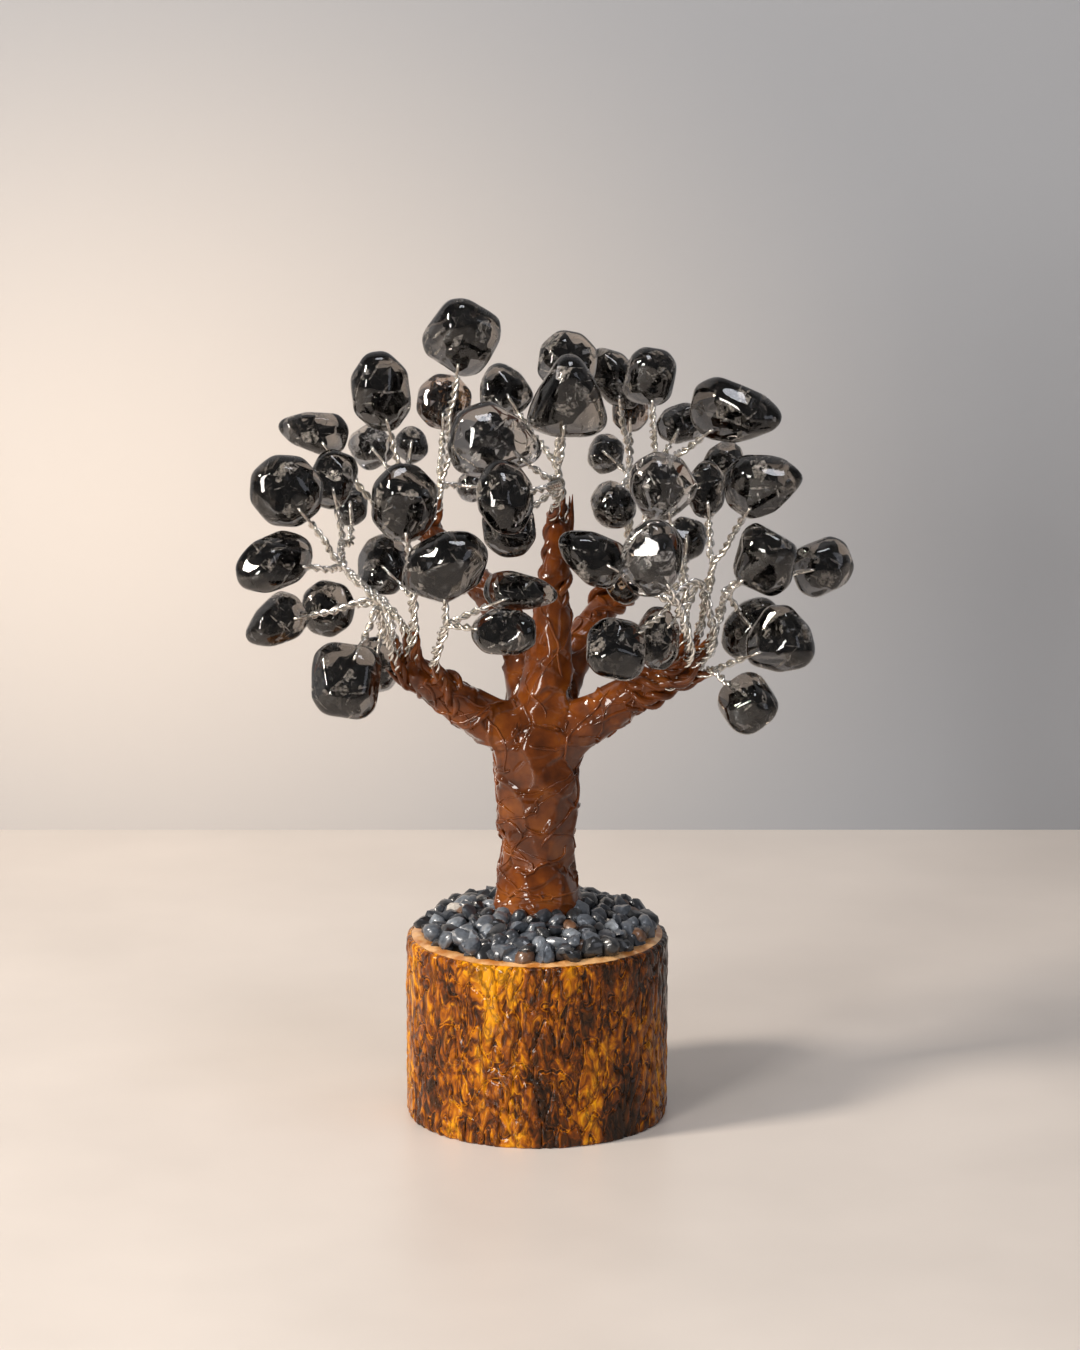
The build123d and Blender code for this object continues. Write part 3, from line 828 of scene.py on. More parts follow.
@dataclass
class TumbledStone:
    """A drilled, tumbled stone that hangs on its own wire loop."""

    label: str
    bore: Vector
    normal: Vector
    centre: Vector
    kind: StoneKind
    seed: int
    bore_diameter: float = 0.76
    bore_inset: float = 0.63
    bore_share: float = 0.62
    smoothing: int = 9
    planed_sides: int = 5
    pale_heart: float = 0.8
    flake_corners: int = 5
    heart_share: float = 0.63
    clear_share: float = 0.46
    flakes: int = 26
    wave: float = 0.22
    wave_length: float = 6.5
    obj: Object | None = field(default=None, init=False)
    tree: BVHTree | None = field(default=None, init=False)

    @property
    def out(self) -> Vector:
        """The way from the wire into the stone."""
        return (self.centre - self.bore).normalized()

    def before(self, gap: float) -> Vector:
        """A point on the wire's side of the stone, that many mm off its edge."""
        edge = ((self.centre - self.bore).length / MM + self.bore_inset) / self.bore_share
        return self.centre - self.out * (edge + gap) * MM

    @property
    def eye(self) -> Vector:
        """The point where the stem has turned to face the stone."""
        return self.before(3.6)

    @property
    def throat(self) -> Vector:
        """The point where the twisted stem opens into the loop."""
        return self.before(0.9)

    def surface(self, way: float, back: float) -> float:
        """How far the stone's face lies from the middle of its bore, along the bore.

        Args:
            way: 1 for the face that the bore's axis points at, -1 for the other.
            back: How far from the bore towards the wire, in metres.

        Returns:
            The distance in metres, 0 off the stone.
        """
        far = self.bore + self.normal * way * 20 * MM - self.out * back
        hit = self.tree.ray_cast(far, self.normal * -way)
        return (hit[0] - self.bore).dot(self.normal * way) if hit[0] else 0.0

    def form(self) -> tuple[np.ndarray, list, np.ndarray]:
        """Round off the solid into a tumbled form.

        Returns:
            Points, faces and the middle that they lie round.
        """
        hull = bmesh.new()
        hull.from_mesh(frame["nodes"][self.label].data)
        bmesh.ops.remove_doubles(hull, verts=hull.verts, dist=1e-6)
        bmesh.ops.convex_hull(hull, input=hull.verts)
        solid = BVHTree.FromBMesh(hull)
        low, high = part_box(self.label)
        middle = (low + high) / 2
        hull.free()
        ball = bmesh.new()
        bmesh.ops.create_icosphere(ball, subdivisions=5, radius=1.0)
        ways = [v.co.normalized() for v in ball.verts]
        points = []
        for way in ways:
            hit = solid.ray_cast(middle + way * CAST * MM, -way)
            points.append(hit[0] - middle)
        faces = [[v.index for v in f.verts] for f in ball.faces]
        edges = np.array([[v.index for v in e.verts] for e in ball.edges])
        ball.free()
        points = np.array(points)
        before = np.linalg.norm(points, axis=1)
        points = relax(points, edges, self.smoothing)
        after = np.linalg.norm(points, axis=1)
        usual = np.percentile(before, 60) / np.percentile(after, 60)
        points *= usual * 0.6 + 0.4 * before.max() / after.max()
        rng = random.Random(self.seed)
        normal = np.array(self.normal)
        for _ in range(self.planed_sides):
            way = np.array([rng.gauss(0, 1) for _ in range(3)])
            way += normal * math.copysign(1.2, way @ normal)
            way /= np.linalg.norm(way)
            along = points @ way
            flat = along.max() * rng.uniform(0.76, 0.93)
            points -= np.outer(np.maximum(along - flat, 0) * 0.85, way)
        shift = Vector([rng.uniform(-9, 9) for _ in range(3)])
        for k, point in enumerate(points):
            spot = Vector(point) / (self.wave_length * MM) + shift
            swell = noise.noise(spot) * self.wave + noise.noise(spot * 2.3) * self.wave * 0.35
            points[k] *= 1 + swell / 6.0
        points = relax(points, edges, 4)
        return points, faces, np.array(middle)

    def heart(self, mat: Material) -> Object:
        """Make the smoky clouds inside the stone as cracked facets.

        Args:
            mat: Their finish.

        Returns:
            The heart as a mesh object.
        """
        rng = random.Random(self.seed + 500)
        low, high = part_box(self.label)
        middle = (low + high) / 2 + self.out * 0.5 * MM
        share = self.heart_share * (self.pale_heart if self.kind is StoneKind.PALE else 1.0)
        clear = random_way(rng)
        shift = Vector([rng.uniform(-9, 9) for _ in range(3)])
        ball = bmesh.new()
        bmesh.ops.create_icosphere(ball, subdivisions=3, radius=1.0)
        verts = []
        for vert in ball.verts:
            way = vert.co.normalized()
            hit = self.tree.ray_cast(middle + way * CAST * MM, -way)
            reach = (hit[0] - middle).length
            thin = 1 - self.clear_share * max(0.0, way.dot(clear)) ** 1.5
            cloud = (1 + 0.5 * noise.noise(way * 1.9 + shift)) * rng.uniform(0.92, 1.06)
            verts.append(middle + way * reach * share * thin * cloud)
        faces = [[v.index for v in f.verts] for f in ball.faces]
        ball.free()
        mesh = mesh_from(self.label + "_heart", np.array(verts), faces, smooth=False)
        # A random value for each facet; the highest tenth are painted pale in the finish, as veils and as
        # painted glints.
        veil = mesh.attributes.new("veil", "FLOAT", "FACE")
        veil.data.foreach_set("value", [rng.random() for _ in faces])
        mesh.materials.append(mat)
        return new_object(self.label + "_heart", mesh)

    def cracks(self, mat: Material) -> Object:
        """Make the healed cracks under the skin as thin flakes that catch the light.

        Args:
            mat: Their finish.

        Returns:
            The flakes as a mesh object.
        """
        rng = random.Random(self.seed + 900)
        low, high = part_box(self.label)
        middle = (low + high) / 2
        verts, faces = [], []
        while len(verts) < self.flakes * (self.flake_corners + 2):
            way = random_way(rng)
            hit = self.tree.ray_cast(middle + way * CAST * MM, -way)
            spot = middle + (hit[0] - middle) * rng.uniform(0.74, 0.93)
            long = rng.uniform(1.2, 3.4) * MM
            narrow = long * (rng.uniform(0.08, 0.16) if rng.random() < 0.6 else rng.uniform(0.4, 0.9))
            if (spot - self.bore).length < long + self.bore_diameter * MM:
                continue
            tilt = (way + Vector([rng.gauss(0, 0.45) for _ in range(3)])).normalized()
            side = tilt.orthogonal().normalized()
            side.rotate(Matrix.Rotation(rng.uniform(0, math.tau), 3, tilt))
            first = len(verts)
            for k in range(self.flake_corners):
                angle = math.tau * k / self.flake_corners + rng.uniform(-0.4, 0.4)
                arm = side * math.cos(angle) * long + tilt.cross(side) * math.sin(angle) * narrow
                room = self.tree.ray_cast(spot, arm.normalized())[3]
                verts.append(spot + arm.normalized() * min(arm.length * rng.uniform(0.6, 1.0), room * 0.9))
            verts += [spot + tilt * 0.05 * MM, spot - tilt * 0.05 * MM]
            for k in range(self.flake_corners):
                after = (k + 1) % self.flake_corners
                faces.append([first + k, first + after, first + self.flake_corners])
                faces.append([first + after, first + k, first + self.flake_corners + 1])
        mesh = mesh_from(self.label + "_cracks", np.array(verts), faces, smooth=False)
        mesh.materials.append(mat)
        return new_object(self.label + "_cracks", mesh)

    def build(self, skin: Material, heart: Material, crack: Material) -> None:
        """Make the stone, drill it and hand it to its body.

        Args:
            skin: The clear outer finish.
            heart: The finish of the clouds inside.
            crack: The finish of the healed cracks.
        """
        points, faces, middle = self.form()
        mesh = mesh_from(self.label + "_tumbled", points + middle, faces)
        mesh.materials.append(skin)
        stone = new_object(self.label + "_tumbled", mesh)
        drill = bmesh.new()
        turn = self.normal.to_track_quat("Z", "Y").to_matrix().to_4x4()
        bmesh.ops.create_cone(
            drill, cap_ends=True, segments=12, radius1=self.bore_diameter / 2 * MM,
            radius2=self.bore_diameter / 2 * MM, depth=30 * MM, matrix=Matrix.Translation(self.bore) @ turn,
        )
        tool_mesh = bpy.data.meshes.new("drill")
        drill.to_mesh(tool_mesh)
        drill.free()
        tool = new_object("drill", tool_mesh)
        cut = stone.modifiers.new("bore", "BOOLEAN")
        cut.object = tool
        cut.operation = "DIFFERENCE"
        cut.solver = "EXACT"
        self.obj = baked(stone)
        bpy.data.objects.remove(tool)
        self.obj.data.set_sharp_from_angle(angle=math.radians(40))
        self.tree = BVHTree.FromPolygons([v.co for v in self.obj.data.vertices],
                                         [p.vertices for p in self.obj.data.polygons])
        self.obj = joined(self.label + "_tumbled", [self.obj, self.heart(heart), self.cracks(crack)])
        settle(self.obj, self.label, self.kind.value, self.label)


def new_group(
    name: str, inputs: tuple[tuple[str, str], ...]
) -> tuple[GeometryNodeTree, NodeOutputs]:
    """Start a geometry tree.

    Args:
        name: Name of the tree.
        inputs: Name and kind of each input, the geometry first.

    Returns:
        The tree and its inputs by name.
    """
    tree = bpy.data.node_groups.new(name, "GeometryNodeTree")
    for label, kind in inputs:
        tree.interface.new_socket(label, in_out="INPUT", socket_type="NodeSocket" + kind)
    tree.interface.new_socket("Mesh", in_out="OUTPUT", socket_type="NodeSocketGeometry")
    return tree, add_node(tree, "NodeGroupInput").outputs


def end_group(
    tree: GeometryNodeTree, shape: Node, finish: NodeSocket
) -> GeometryNodeTree:
    """End a geometry tree with plain, dressed geometry.

    Args:
        tree: The tree.
        shape: The node that made the geometry.
        finish: The material to set.

    Returns:
        The tree.
    """
    whole = add_node(tree, "GeometryNodeRealizeInstances", {0: shape})
    dressed = add_node(tree, "GeometryNodeSetMaterial", {"Geometry": whole, "Material": finish})
    add_node(tree, "NodeGroupOutput", {0: dressed})
    return tree


def twist_tree() -> GeometryNodeTree:
    """Geometry nodes that lay strands round a path with a steady twist.

    Returns:
        The tree, with inputs for its sizes in metres.
    """
    tree, given = new_group("twisted_strands", (
        ("Path", "Geometry"),
        ("Strand Diameter", "Float"),
        ("Lay Radius", "Float"),
        ("Pitch", "Float"),
        ("Step", "Float"),
        ("Strands", "Int"),
        ("Sides", "Int"),
        ("Finish", "Material"),
    ))
    path = add_node(
        tree, "GeometryNodeResampleCurve", {"Curve": given["Path"], "Length": given["Step"]}, mode="LENGTH"
    )
    along = add_node(tree, "GeometryNodeSplineParameter")
    turns = add_node(
        tree, "ShaderNodeMath", {0: along.outputs["Length"], 1: given["Pitch"]}, operation="DIVIDE"
    )
    tilt = add_node(tree, "ShaderNodeMath", {0: turns, 1: math.tau}, operation="MULTIPLY")
    laid = add_node(tree, "GeometryNodeSetCurveTilt", {"Curve": path, "Tilt": tilt})
    index = add_node(tree, "GeometryNodeInputIndex")
    share = add_node(tree, "ShaderNodeMath", {0: index, 1: given["Strands"]}, operation="DIVIDE")
    angle = add_node(tree, "ShaderNodeMath", {0: share, 1: math.tau}, operation="MULTIPLY")
    level = add_node(tree, "ShaderNodeMath", {0: angle}, operation="COSINE")
    upright = add_node(tree, "ShaderNodeMath", {0: angle}, operation="SINE")
    round_way = add_node(tree, "ShaderNodeCombineXYZ", {0: level, 1: upright})
    spot = add_node(
        tree, "ShaderNodeVectorMath", {0: round_way, "Scale": given["Lay Radius"]}, operation="SCALE"
    )
    centres = add_node(tree, "GeometryNodePoints", {"Count": given["Strands"], "Position": spot})
    radius = add_node(tree, "ShaderNodeMath", {0: given["Strand Diameter"], 1: 0.5}, operation="MULTIPLY")
    section = add_node(
        tree, "GeometryNodeCurvePrimitiveCircle", {"Resolution": given["Sides"], "Radius": radius}
    )
    copies = add_node(tree, "GeometryNodeInstanceOnPoints", {"Points": centres, "Instance": section})
    profile = add_node(tree, "GeometryNodeRealizeInstances", {0: copies})
    taper = add_node(tree, "GeometryNodeInputRadius")
    swept = add_node(
        tree, "GeometryNodeCurveToMesh",
        {"Curve": laid, "Profile Curve": profile, "Scale": taper, "Fill Caps": True},
    )
    return end_group(tree, swept, given["Finish"])


def thread_tree() -> GeometryNodeTree:
    """Geometry nodes that lay a thin thread on a surface, along the nearest points to its path.

    Returns:
        The tree, with inputs for the surface, the sizes in metres and the finish.
    """
    tree, given = new_group("laid_thread", (
        ("Path", "Geometry"),
        ("Surface", "Object"),
        ("Thread Diameter", "Float"),
        ("Step", "Float"),
        ("Finish", "Material"),
    ))
    path = add_node(
        tree, "GeometryNodeResampleCurve", {"Curve": given["Path"], "Length": given["Step"]}, mode="LENGTH"
    )
    surface = add_node(tree, "GeometryNodeObjectInfo", {"Object": given["Surface"]})
    nearest = add_node(
        tree, "GeometryNodeProximity", {0: surface.outputs["Geometry"]}, target_element="FACES"
    )
    laid = add_node(
        tree, "GeometryNodeSetPosition", {"Geometry": path, "Position": nearest.outputs["Position"]}
    )
    radius = add_node(tree, "ShaderNodeMath", {0: given["Thread Diameter"], 1: 0.5}, operation="MULTIPLY")
    section = add_node(tree, "GeometryNodeCurvePrimitiveCircle", {"Resolution": 6, "Radius": radius})
    taper = add_node(tree, "GeometryNodeInputRadius")
    swept = add_node(
        tree, "GeometryNodeCurveToMesh",
        {"Curve": laid, "Profile Curve": section, "Scale": taper, "Fill Caps": True},
    )
    return end_group(tree, swept, given["Finish"])


def scatter_tree() -> GeometryNodeTree:
    """Geometry nodes that strew small shapes over a surface, each turned, sized and toned at random.

    Returns:
        The tree, with inputs for the shapes, their spacing in metres, their sizes and the seed.
    """
    tree, given = new_group("strewn_shapes", (
        ("Surface", "Geometry"),
        ("Shapes", "Collection"),
        ("Spacing", "Float"),
        ("Smallest", "Float"),
        ("Largest", "Float"),
        ("Tumble", "Float"),
        ("Lift", "Float"),
        ("Seed", "Int"),
        ("Finish", "Material"),
    ))
    spots = add_node(
        tree, "GeometryNodeDistributePointsOnFaces",
        {
            "Mesh": given["Surface"], "Distance Min": given["Spacing"], "Density Max": 4.0e6,
            "Seed": given["Seed"],
        },
        distribute_method="POISSON",
    )
    rise = add_node(
        tree, "ShaderNodeVectorMath", {0: spots.outputs["Normal"], "Scale": given["Lift"]}, operation="SCALE"
    )
    lifted = add_node(tree, "GeometryNodeSetPosition", {"Geometry": spots, "Offset": rise})
    low = add_node(tree, "ShaderNodeMath", {0: given["Tumble"], 1: -1.0}, operation="MULTIPLY")
    least = add_node(tree, "ShaderNodeCombineXYZ", {0: low, 1: low, 2: -math.pi})
    most = add_node(tree, "ShaderNodeCombineXYZ", {0: given["Tumble"], 1: given["Tumble"], 2: math.pi})
    turn = add_node(
        tree, "FunctionNodeRandomValue", {0: least, 1: most, "Seed": given["Seed"]}, data_type="FLOAT_VECTOR"
    )
    facing = add_node(
        tree, "FunctionNodeRotateRotation", {0: spots.outputs["Rotation"], 1: turn}, rotation_space="LOCAL"
    )
    size = add_node(
        tree, "FunctionNodeRandomValue", {2: given["Smallest"], 3: given["Largest"], "Seed": given["Seed"]},
        data_type="FLOAT",
    )
    shapes = add_node(
        tree, "GeometryNodeCollectionInfo",
        {"Collection": given["Shapes"], "Separate Children": True, "Reset Children": True},
    )
    strewn = add_node(
        tree, "GeometryNodeInstanceOnPoints",
        {
            "Points": lifted, "Instance": shapes, "Pick Instance": True, "Rotation": facing,
            "Scale": size.outputs[1],
        },
    )
    tone = add_node(tree, "FunctionNodeRandomValue", {"Seed": 77}, data_type="FLOAT")
    toned = add_node(
        tree, "GeometryNodeStoreNamedAttribute",
        {"Geometry": strewn, "Name": "chip_tone", "Value": tone.outputs[1]}, data_type="FLOAT",
        domain="INSTANCE",
    )
    return end_group(tree, toned, given["Finish"])


def with_nodes(obj: Object, tree: GeometryNodeTree, **values: object) -> Object:
    """Run a geometry tree on an object and bake it to a plain mesh.

    Args:
        obj: The object that carries the path or surface.
        tree: The tree.
        **values: The tree's inputs by name, with underscores for spaces.

    Returns:
        The plain mesh object.
    """
    modifier = obj.modifiers.new(tree.name, "NODES")
    modifier.node_group = tree
    for item in tree.interface.items_tree:
        key = item.name.replace(" ", "_").lower()
        if item.in_out == "INPUT" and key in values:
            modifier[item.identifier] = values[key]
    return baked(obj)


def path_object(name: str, paths: list[tuple[list[Vector], list[float]]]) -> Object:
    """Make one curve object with a smooth spline through each list of points.

    Args:
        name: Name of the object.
        paths: For each spline, its points and the size share at each point.

    Returns:
        The curve object.
    """
    curve = bpy.data.curves.new(name, "CURVE")
    curve.dimensions = "3D"
    for points, sizes in paths:
        spline = curve.splines.new("BEZIER")
        spline.resolution_u = 16
        spline.bezier_points.add(len(points) - 1)
        for knot, point, size in zip(spline.bezier_points, points, sizes):
            knot.co = point
            knot.radius = size
            knot.handle_left_type = "AUTO"
            knot.handle_right_type = "AUTO"
    obj = bpy.data.objects.new(name, curve)
    bpy.context.scene.collection.objects.link(obj)
    return obj


@dataclass
class LimbFrame:
    """Where a limb runs, in metres, and where each of its branches leaves its mouth."""

    limb: Limb
    fork: Vector
    branch_pitch: float = 2.6

    def __post_init__(self) -> None:
        """Work out the limb's axis and the circle on which its branches stand."""
        self.middle = CROWN.place(self.limb.middle)
        self.tip = CROWN.place(self.limb.tip)
        self.axis = (self.tip - self.middle).normalized()
        self.side = self.axis.cross(Vector((0, 0, 1))).normalized()
        self.other = self.axis.cross(self.side)
        count = len(self.limb.branches)
        self.ring = max(count * self.branch_pitch / math.tau, self.branch_pitch / 2) * MM

    def angle(self, slot: int) -> float:
        """Turn of a branch round the mouth, in radians."""
        return math.radians(self.limb.first_turn) + math.tau * slot / len(self.limb.branches)

    def around(self, angle: float) -> Vector:
        """The way from the limb's axis at a turn round it."""
        return self.side * math.cos(angle) + self.other * math.sin(angle)

    def foot(self, slot: int) -> Vector:
        """Where a branch leaves the mouth."""
        return self.tip + self.around(self.angle(slot)) * self.ring

    def start(self, slot: int) -> tuple[Vector, Vector, Vector]:
        """How a branch leaves the limb.

        Args:
            slot: The branch's place in its limb's order.

        Returns:
            A point inside the limb, a point just outside it and the way on to the first bend.
        """
        branch = self.limb.branches[slot]
        bend = CROWN.place(branch.bends[0])
        if branch.root is None:
            inside = self.foot(slot) - self.axis * 5.5 * MM
            outside = self.foot(slot) + self.axis * 1.5 * MM
        else:
            inside = self.middle.lerp(self.tip, branch.root)
            outside = inside + (bend - inside).normalized() * 5.2 * MM
        return inside, outside, (bend - outside).normalized()


@dataclass
class WireSpray:
    """The wires of one limb: bundled branches, twisted stems and the loops that carry its stones."""

    limb: LimbFrame
    stones: dict[str, TumbledStone]
    wire_diameter: float = 0.78
    stem_pitch: float = 4.4
    branch_pitch: float = 10.5
    branch_radius: float = 0.55
    branch_wire: float = 0.68
    wobble: float = 0.6

    def stem(self, start: Vector, heading: Vector, stone: TumbledStone, rng: random.Random) -> list[Vector]:
        """Points of a twisted stem from its fork to the eye of its loop.

        Args:
            start: The fork.
            heading: The way that the branch comes into the fork.
            stone: The stone that the stem carries.
            rng: Source of the small bends that fingers leave.

        Returns:
            The points.
        """
        lead = stone.eye - stone.out * 2.2 * MM
        span = lead - start
        points = [start - heading * 1.2 * MM, start + heading * 0.4 * MM]
        bends = max(1, int(span.length / (7 * MM)))
        for k in range(1, bends + 1):
            along = k / (bends + 1)
            sway = Vector([rng.gauss(0, 1) for _ in range(3)]).cross(span.normalized()) * self.wobble * MM
            lean = heading * span.length * 0.10 * math.sin(math.pi * along)
            points.append(start + span * along + sway * 0.6 + lean)
        return [*points, lead, stone.eye, stone.throat]

    def loop(self, stone: TumbledStone) -> list[Vector]:
        """Points of the single wire from the twist, close over one face, through the bore and back."""
        radius = self.wire_diameter / 2 * MM
        reach = (stone.throat - stone.bore).length
        legs = []
        for way in (1, -1):
            lift = stone.normal * way
            leg = [stone.throat - stone.out * 0.9 * MM + lift * radius]
            for share in (0.8, 0.58, 0.34):
                back = reach * share
                leg.append(stone.bore - stone.out * back + lift * (stone.surface(way, back) + radius))
            face = stone.surface(way, stone.bore_diameter * 0.75 * MM)
            legs.append([*leg, stone.bore + lift * (face + radius * 0.5), stone.bore + lift * face * 0.6])
        return [*legs[0], stone.bore.copy(), *legs[1][::-1]]

    def build(self, tree: GeometryNodeTree, finish: Material) -> None:
        """Lay the wires and hand them to the tree's body.

        Args:
            tree: The twisting nodes.
            finish: The metal.
        """
        name = self.limb.limb.name
        rng = random.Random(len(name) * 31 + 7)
        branches, stems, loops = [], [], []
        for slot, branch in enumerate(self.limb.limb.branches):
            stops = [CROWN.place(stop) for stop in branch.bends]
            route = [*self.limb.start(slot)[:2], *stops]
            heading = (route[-1] - route[-2]).normalized()
            for phase in (0.0, math.pi):
                pair = wound(
                    smooth_path(route, 9), self.branch_radius * MM, self.branch_pitch * MM, phase + slot
                )
                branches.append((pair, [1.0] * len(pair)))
            for letter in "abcd"[: len(branch.places)]:
                stone = self.stones[f"stone_{name}_{branch.name}_{letter}"]
                points = self.stem(stops[-1], heading, stone, rng)
                stems.append((points, [1.0] * len(points)))
                turn = self.loop(stone)
                loops.append((turn, [1.0] * len(turn)))
        parts = []
        for kind, paths, strands, width, lay in (
            ("branches", branches, 2, self.branch_wire, 0.55),
            ("stems", stems, 2, self.wire_diameter, 0.58),
            ("loops", loops, 1, self.wire_diameter * 0.85, 0.0),
        ):
            parts.append(with_nodes(
                path_object(f"{name}_{kind}", paths), tree, strand_diameter=width * MM,
                lay_radius=width * lay * MM,
                pitch=self.stem_pitch * MM, step=0.34 * MM, strands=strands, sides=8, finish=finish,
            ))
        spray = joined(f"wires_{name}_twisted", parts)
        shade_mesh(spray.data)
        settle(spray, "tree", "silver_wire", f"wires_{name}")


@dataclass
class WrappedTrunk:
    """The trunk and its limbs: tape wound over the wires, with strands that run out to each branch."""

    limbs: list[LimbFrame]
    foot_height: float = 33.6
    profile: tuple[tuple[float, float], ...] = (
        (33.6, 9.6), (44.7, 9.4), (50.0, 8.3), (58.0, 7.4), (66.0, 7.6), (74.0, 8.2), (80.0, 7.4),
    )
    limb_radii: tuple[float, ...] = (5.9, 5.7, 4.3, 2.5)
    back_radii: tuple[float, ...] = (5.0, 4.5, 3.2, 2.2)
    leader_radii: tuple[float, ...] = (6.6, 6.4, 4.6, 1.9)
    web: float = 1.1
    scrap_spacing: float = 6.2
    tape_pitches: tuple[float, float] = (7.5, 9.0)
    tape_turns: tuple[int, int] = (2, -3)
    edge_height: float = 0.75
    edge_width: float = 0.36
    drops: int = 170
    thread_diameter: float = 0.75
    seed: int = 11

    def skeleton(self) -> list[tuple[np.ndarray, np.ndarray]]:
        """Centre points and radii of the trunk and of each limb, in mm."""
        runs = []
        heights = np.linspace(self.profile[0][0], self.profile[-1][0], 90)
        radii = np.interp(heights, [p[0] for p in self.profile], [p[1] for p in self.profile])
        runs.append((np.stack([heights * 0, heights * 0, heights], 1), radii))
        for limb in self.limbs:
            sizes = self.leader_radii if limb.limb.name == "leader" else self.limb_radii
            if limb.limb.name.startswith("back"):
                sizes = self.back_radii
            fork = limb.fork / MM
            knots = [fork - Vector((0, 0, 12)), fork + Vector((0, 0, -1)), limb.middle / MM, limb.tip / MM]
            path = np.array(smooth_path(knots, 30))
            runs.append((path, np.interp(np.linspace(0, 3, len(path)), range(4), sizes)))
        return runs

    def distance(self, points: np.ndarray, runs: list[tuple[np.ndarray, np.ndarray]]) -> np.ndarray:
        """Distance of points from the skin, with webs where limbs meet.

        Args:
            points: Points in mm.
            runs: Centre points and radii of each run.

        Returns:
            Distances in mm, negative inside.
        """
        total = np.zeros(len(points))
        for path, radii in runs:
            gaps = np.linalg.norm(points[:, None, :] - path[None], axis=2) - radii[None]
            total += np.exp(-gaps.min(1) / self.web)
        return -self.web * np.log(np.maximum(total, 1e-12))

    def skin(self) -> Object:
        """Make the skin of the trunk: a closed form round its runs, then folds of tape."""
        runs = self.skeleton()
        shell = bmesh.new()
        for path, radii in runs:
            for point, radius in list(zip(path, radii))[::3]:
                bmesh.ops.create_icosphere(
                    shell, subdivisions=2, radius=(radius + 0.4) * MM,
                    matrix=Matrix.Translation(Vector(point) * MM),
                )
        mesh = bpy.data.meshes.new("trunk_form")
        shell.to_mesh(mesh)
        shell.free()
        rough = new_object("trunk_form", mesh)
        remesh = rough.modifiers.new("skin", "REMESH")
        remesh.mode = "VOXEL"
        remesh.voxel_size = 0.38 * MM
        rough = baked(rough)
        count = len(rough.data.vertices)
        points = np.zeros(count * 3)
        rough.data.vertices.foreach_get("co", points)
        points = points.reshape(-1, 3) / MM
        edges = np.zeros(len(rough.data.edges) * 2, int)
        rough.data.edges.foreach_get("vertices", edges)
        edges = edges.reshape(-1, 2)
        points = relax(points, edges, 3)
        for _ in range(3):
            here = self.distance(points, runs)
            steps = SLOPE_STEP * np.eye(3)
            slope = np.stack([(self.distance(points + step, runs) - here) / SLOPE_STEP for step in steps], 1)
            points -= np.clip(here, -2, 2)[:, None] * slope / np.maximum((slope**2).sum(1), 0.2)[:, None]
            points = relax(points, edges, 1)
        low = points[:, 2] < self.foot_height
        points[low, 2] = self.foot_height
        seams = self.fold(points, slope, runs)
        points = relax(points, edges, 1)
        rough.data.vertices.foreach_set("co", (points * MM).ravel())
        shade_mesh(rough.data)
        rough.data.update()
        rough.data.attributes.new("seam", "FLOAT", "POINT").data.foreach_set("value", seams)
        rough.name = "trunk_skin"
        return rough

    def unrolled(
        self, points: np.ndarray, runs: list[tuple[np.ndarray, np.ndarray]]
    ) -> tuple[np.ndarray, np.ndarray, np.ndarray]:
        """Where points lie on the nearest run, as if its skin were unrolled.

        Args:
            points: Points of the skin in mm.
            runs: Centre points and radii of each run.

        Returns:
            Length along the run in mm, turn round it in radians from the front, and its radius in mm.
        """
        best = np.full(len(points), np.inf)
        along, around, size = np.zeros((3, len(points)))
        for number, (path, radii) in enumerate(runs):
            lengths = np.concatenate([[0.0], np.cumsum(np.linalg.norm(np.diff(path, axis=0), axis=1))])
            ahead = np.gradient(path, axis=0)
            ahead /= np.linalg.norm(ahead, axis=1)[:, None]
            front = np.cross([1.0, 0.0, 0.0], ahead)
            front /= np.linalg.norm(front, axis=1)[:, None]
            gaps = np.linalg.norm(points[:, None, :] - path[None], axis=2) - radii[None]
            k = gaps.argmin(1)
            offset = points - path[k]
            near = gaps.min(1) < best
            best[near] = gaps.min(1)[near]
            along[near] = (RUN_SHIFT * number + lengths[k] + (offset * ahead[k]).sum(1))[near]
            sideways = (offset * np.cross(ahead, front)[k]).sum(1)
            around[near] = np.arctan2(sideways, (offset * front[k]).sum(1))[near]
            size[near] = radii[k][near]
        return along, around, size

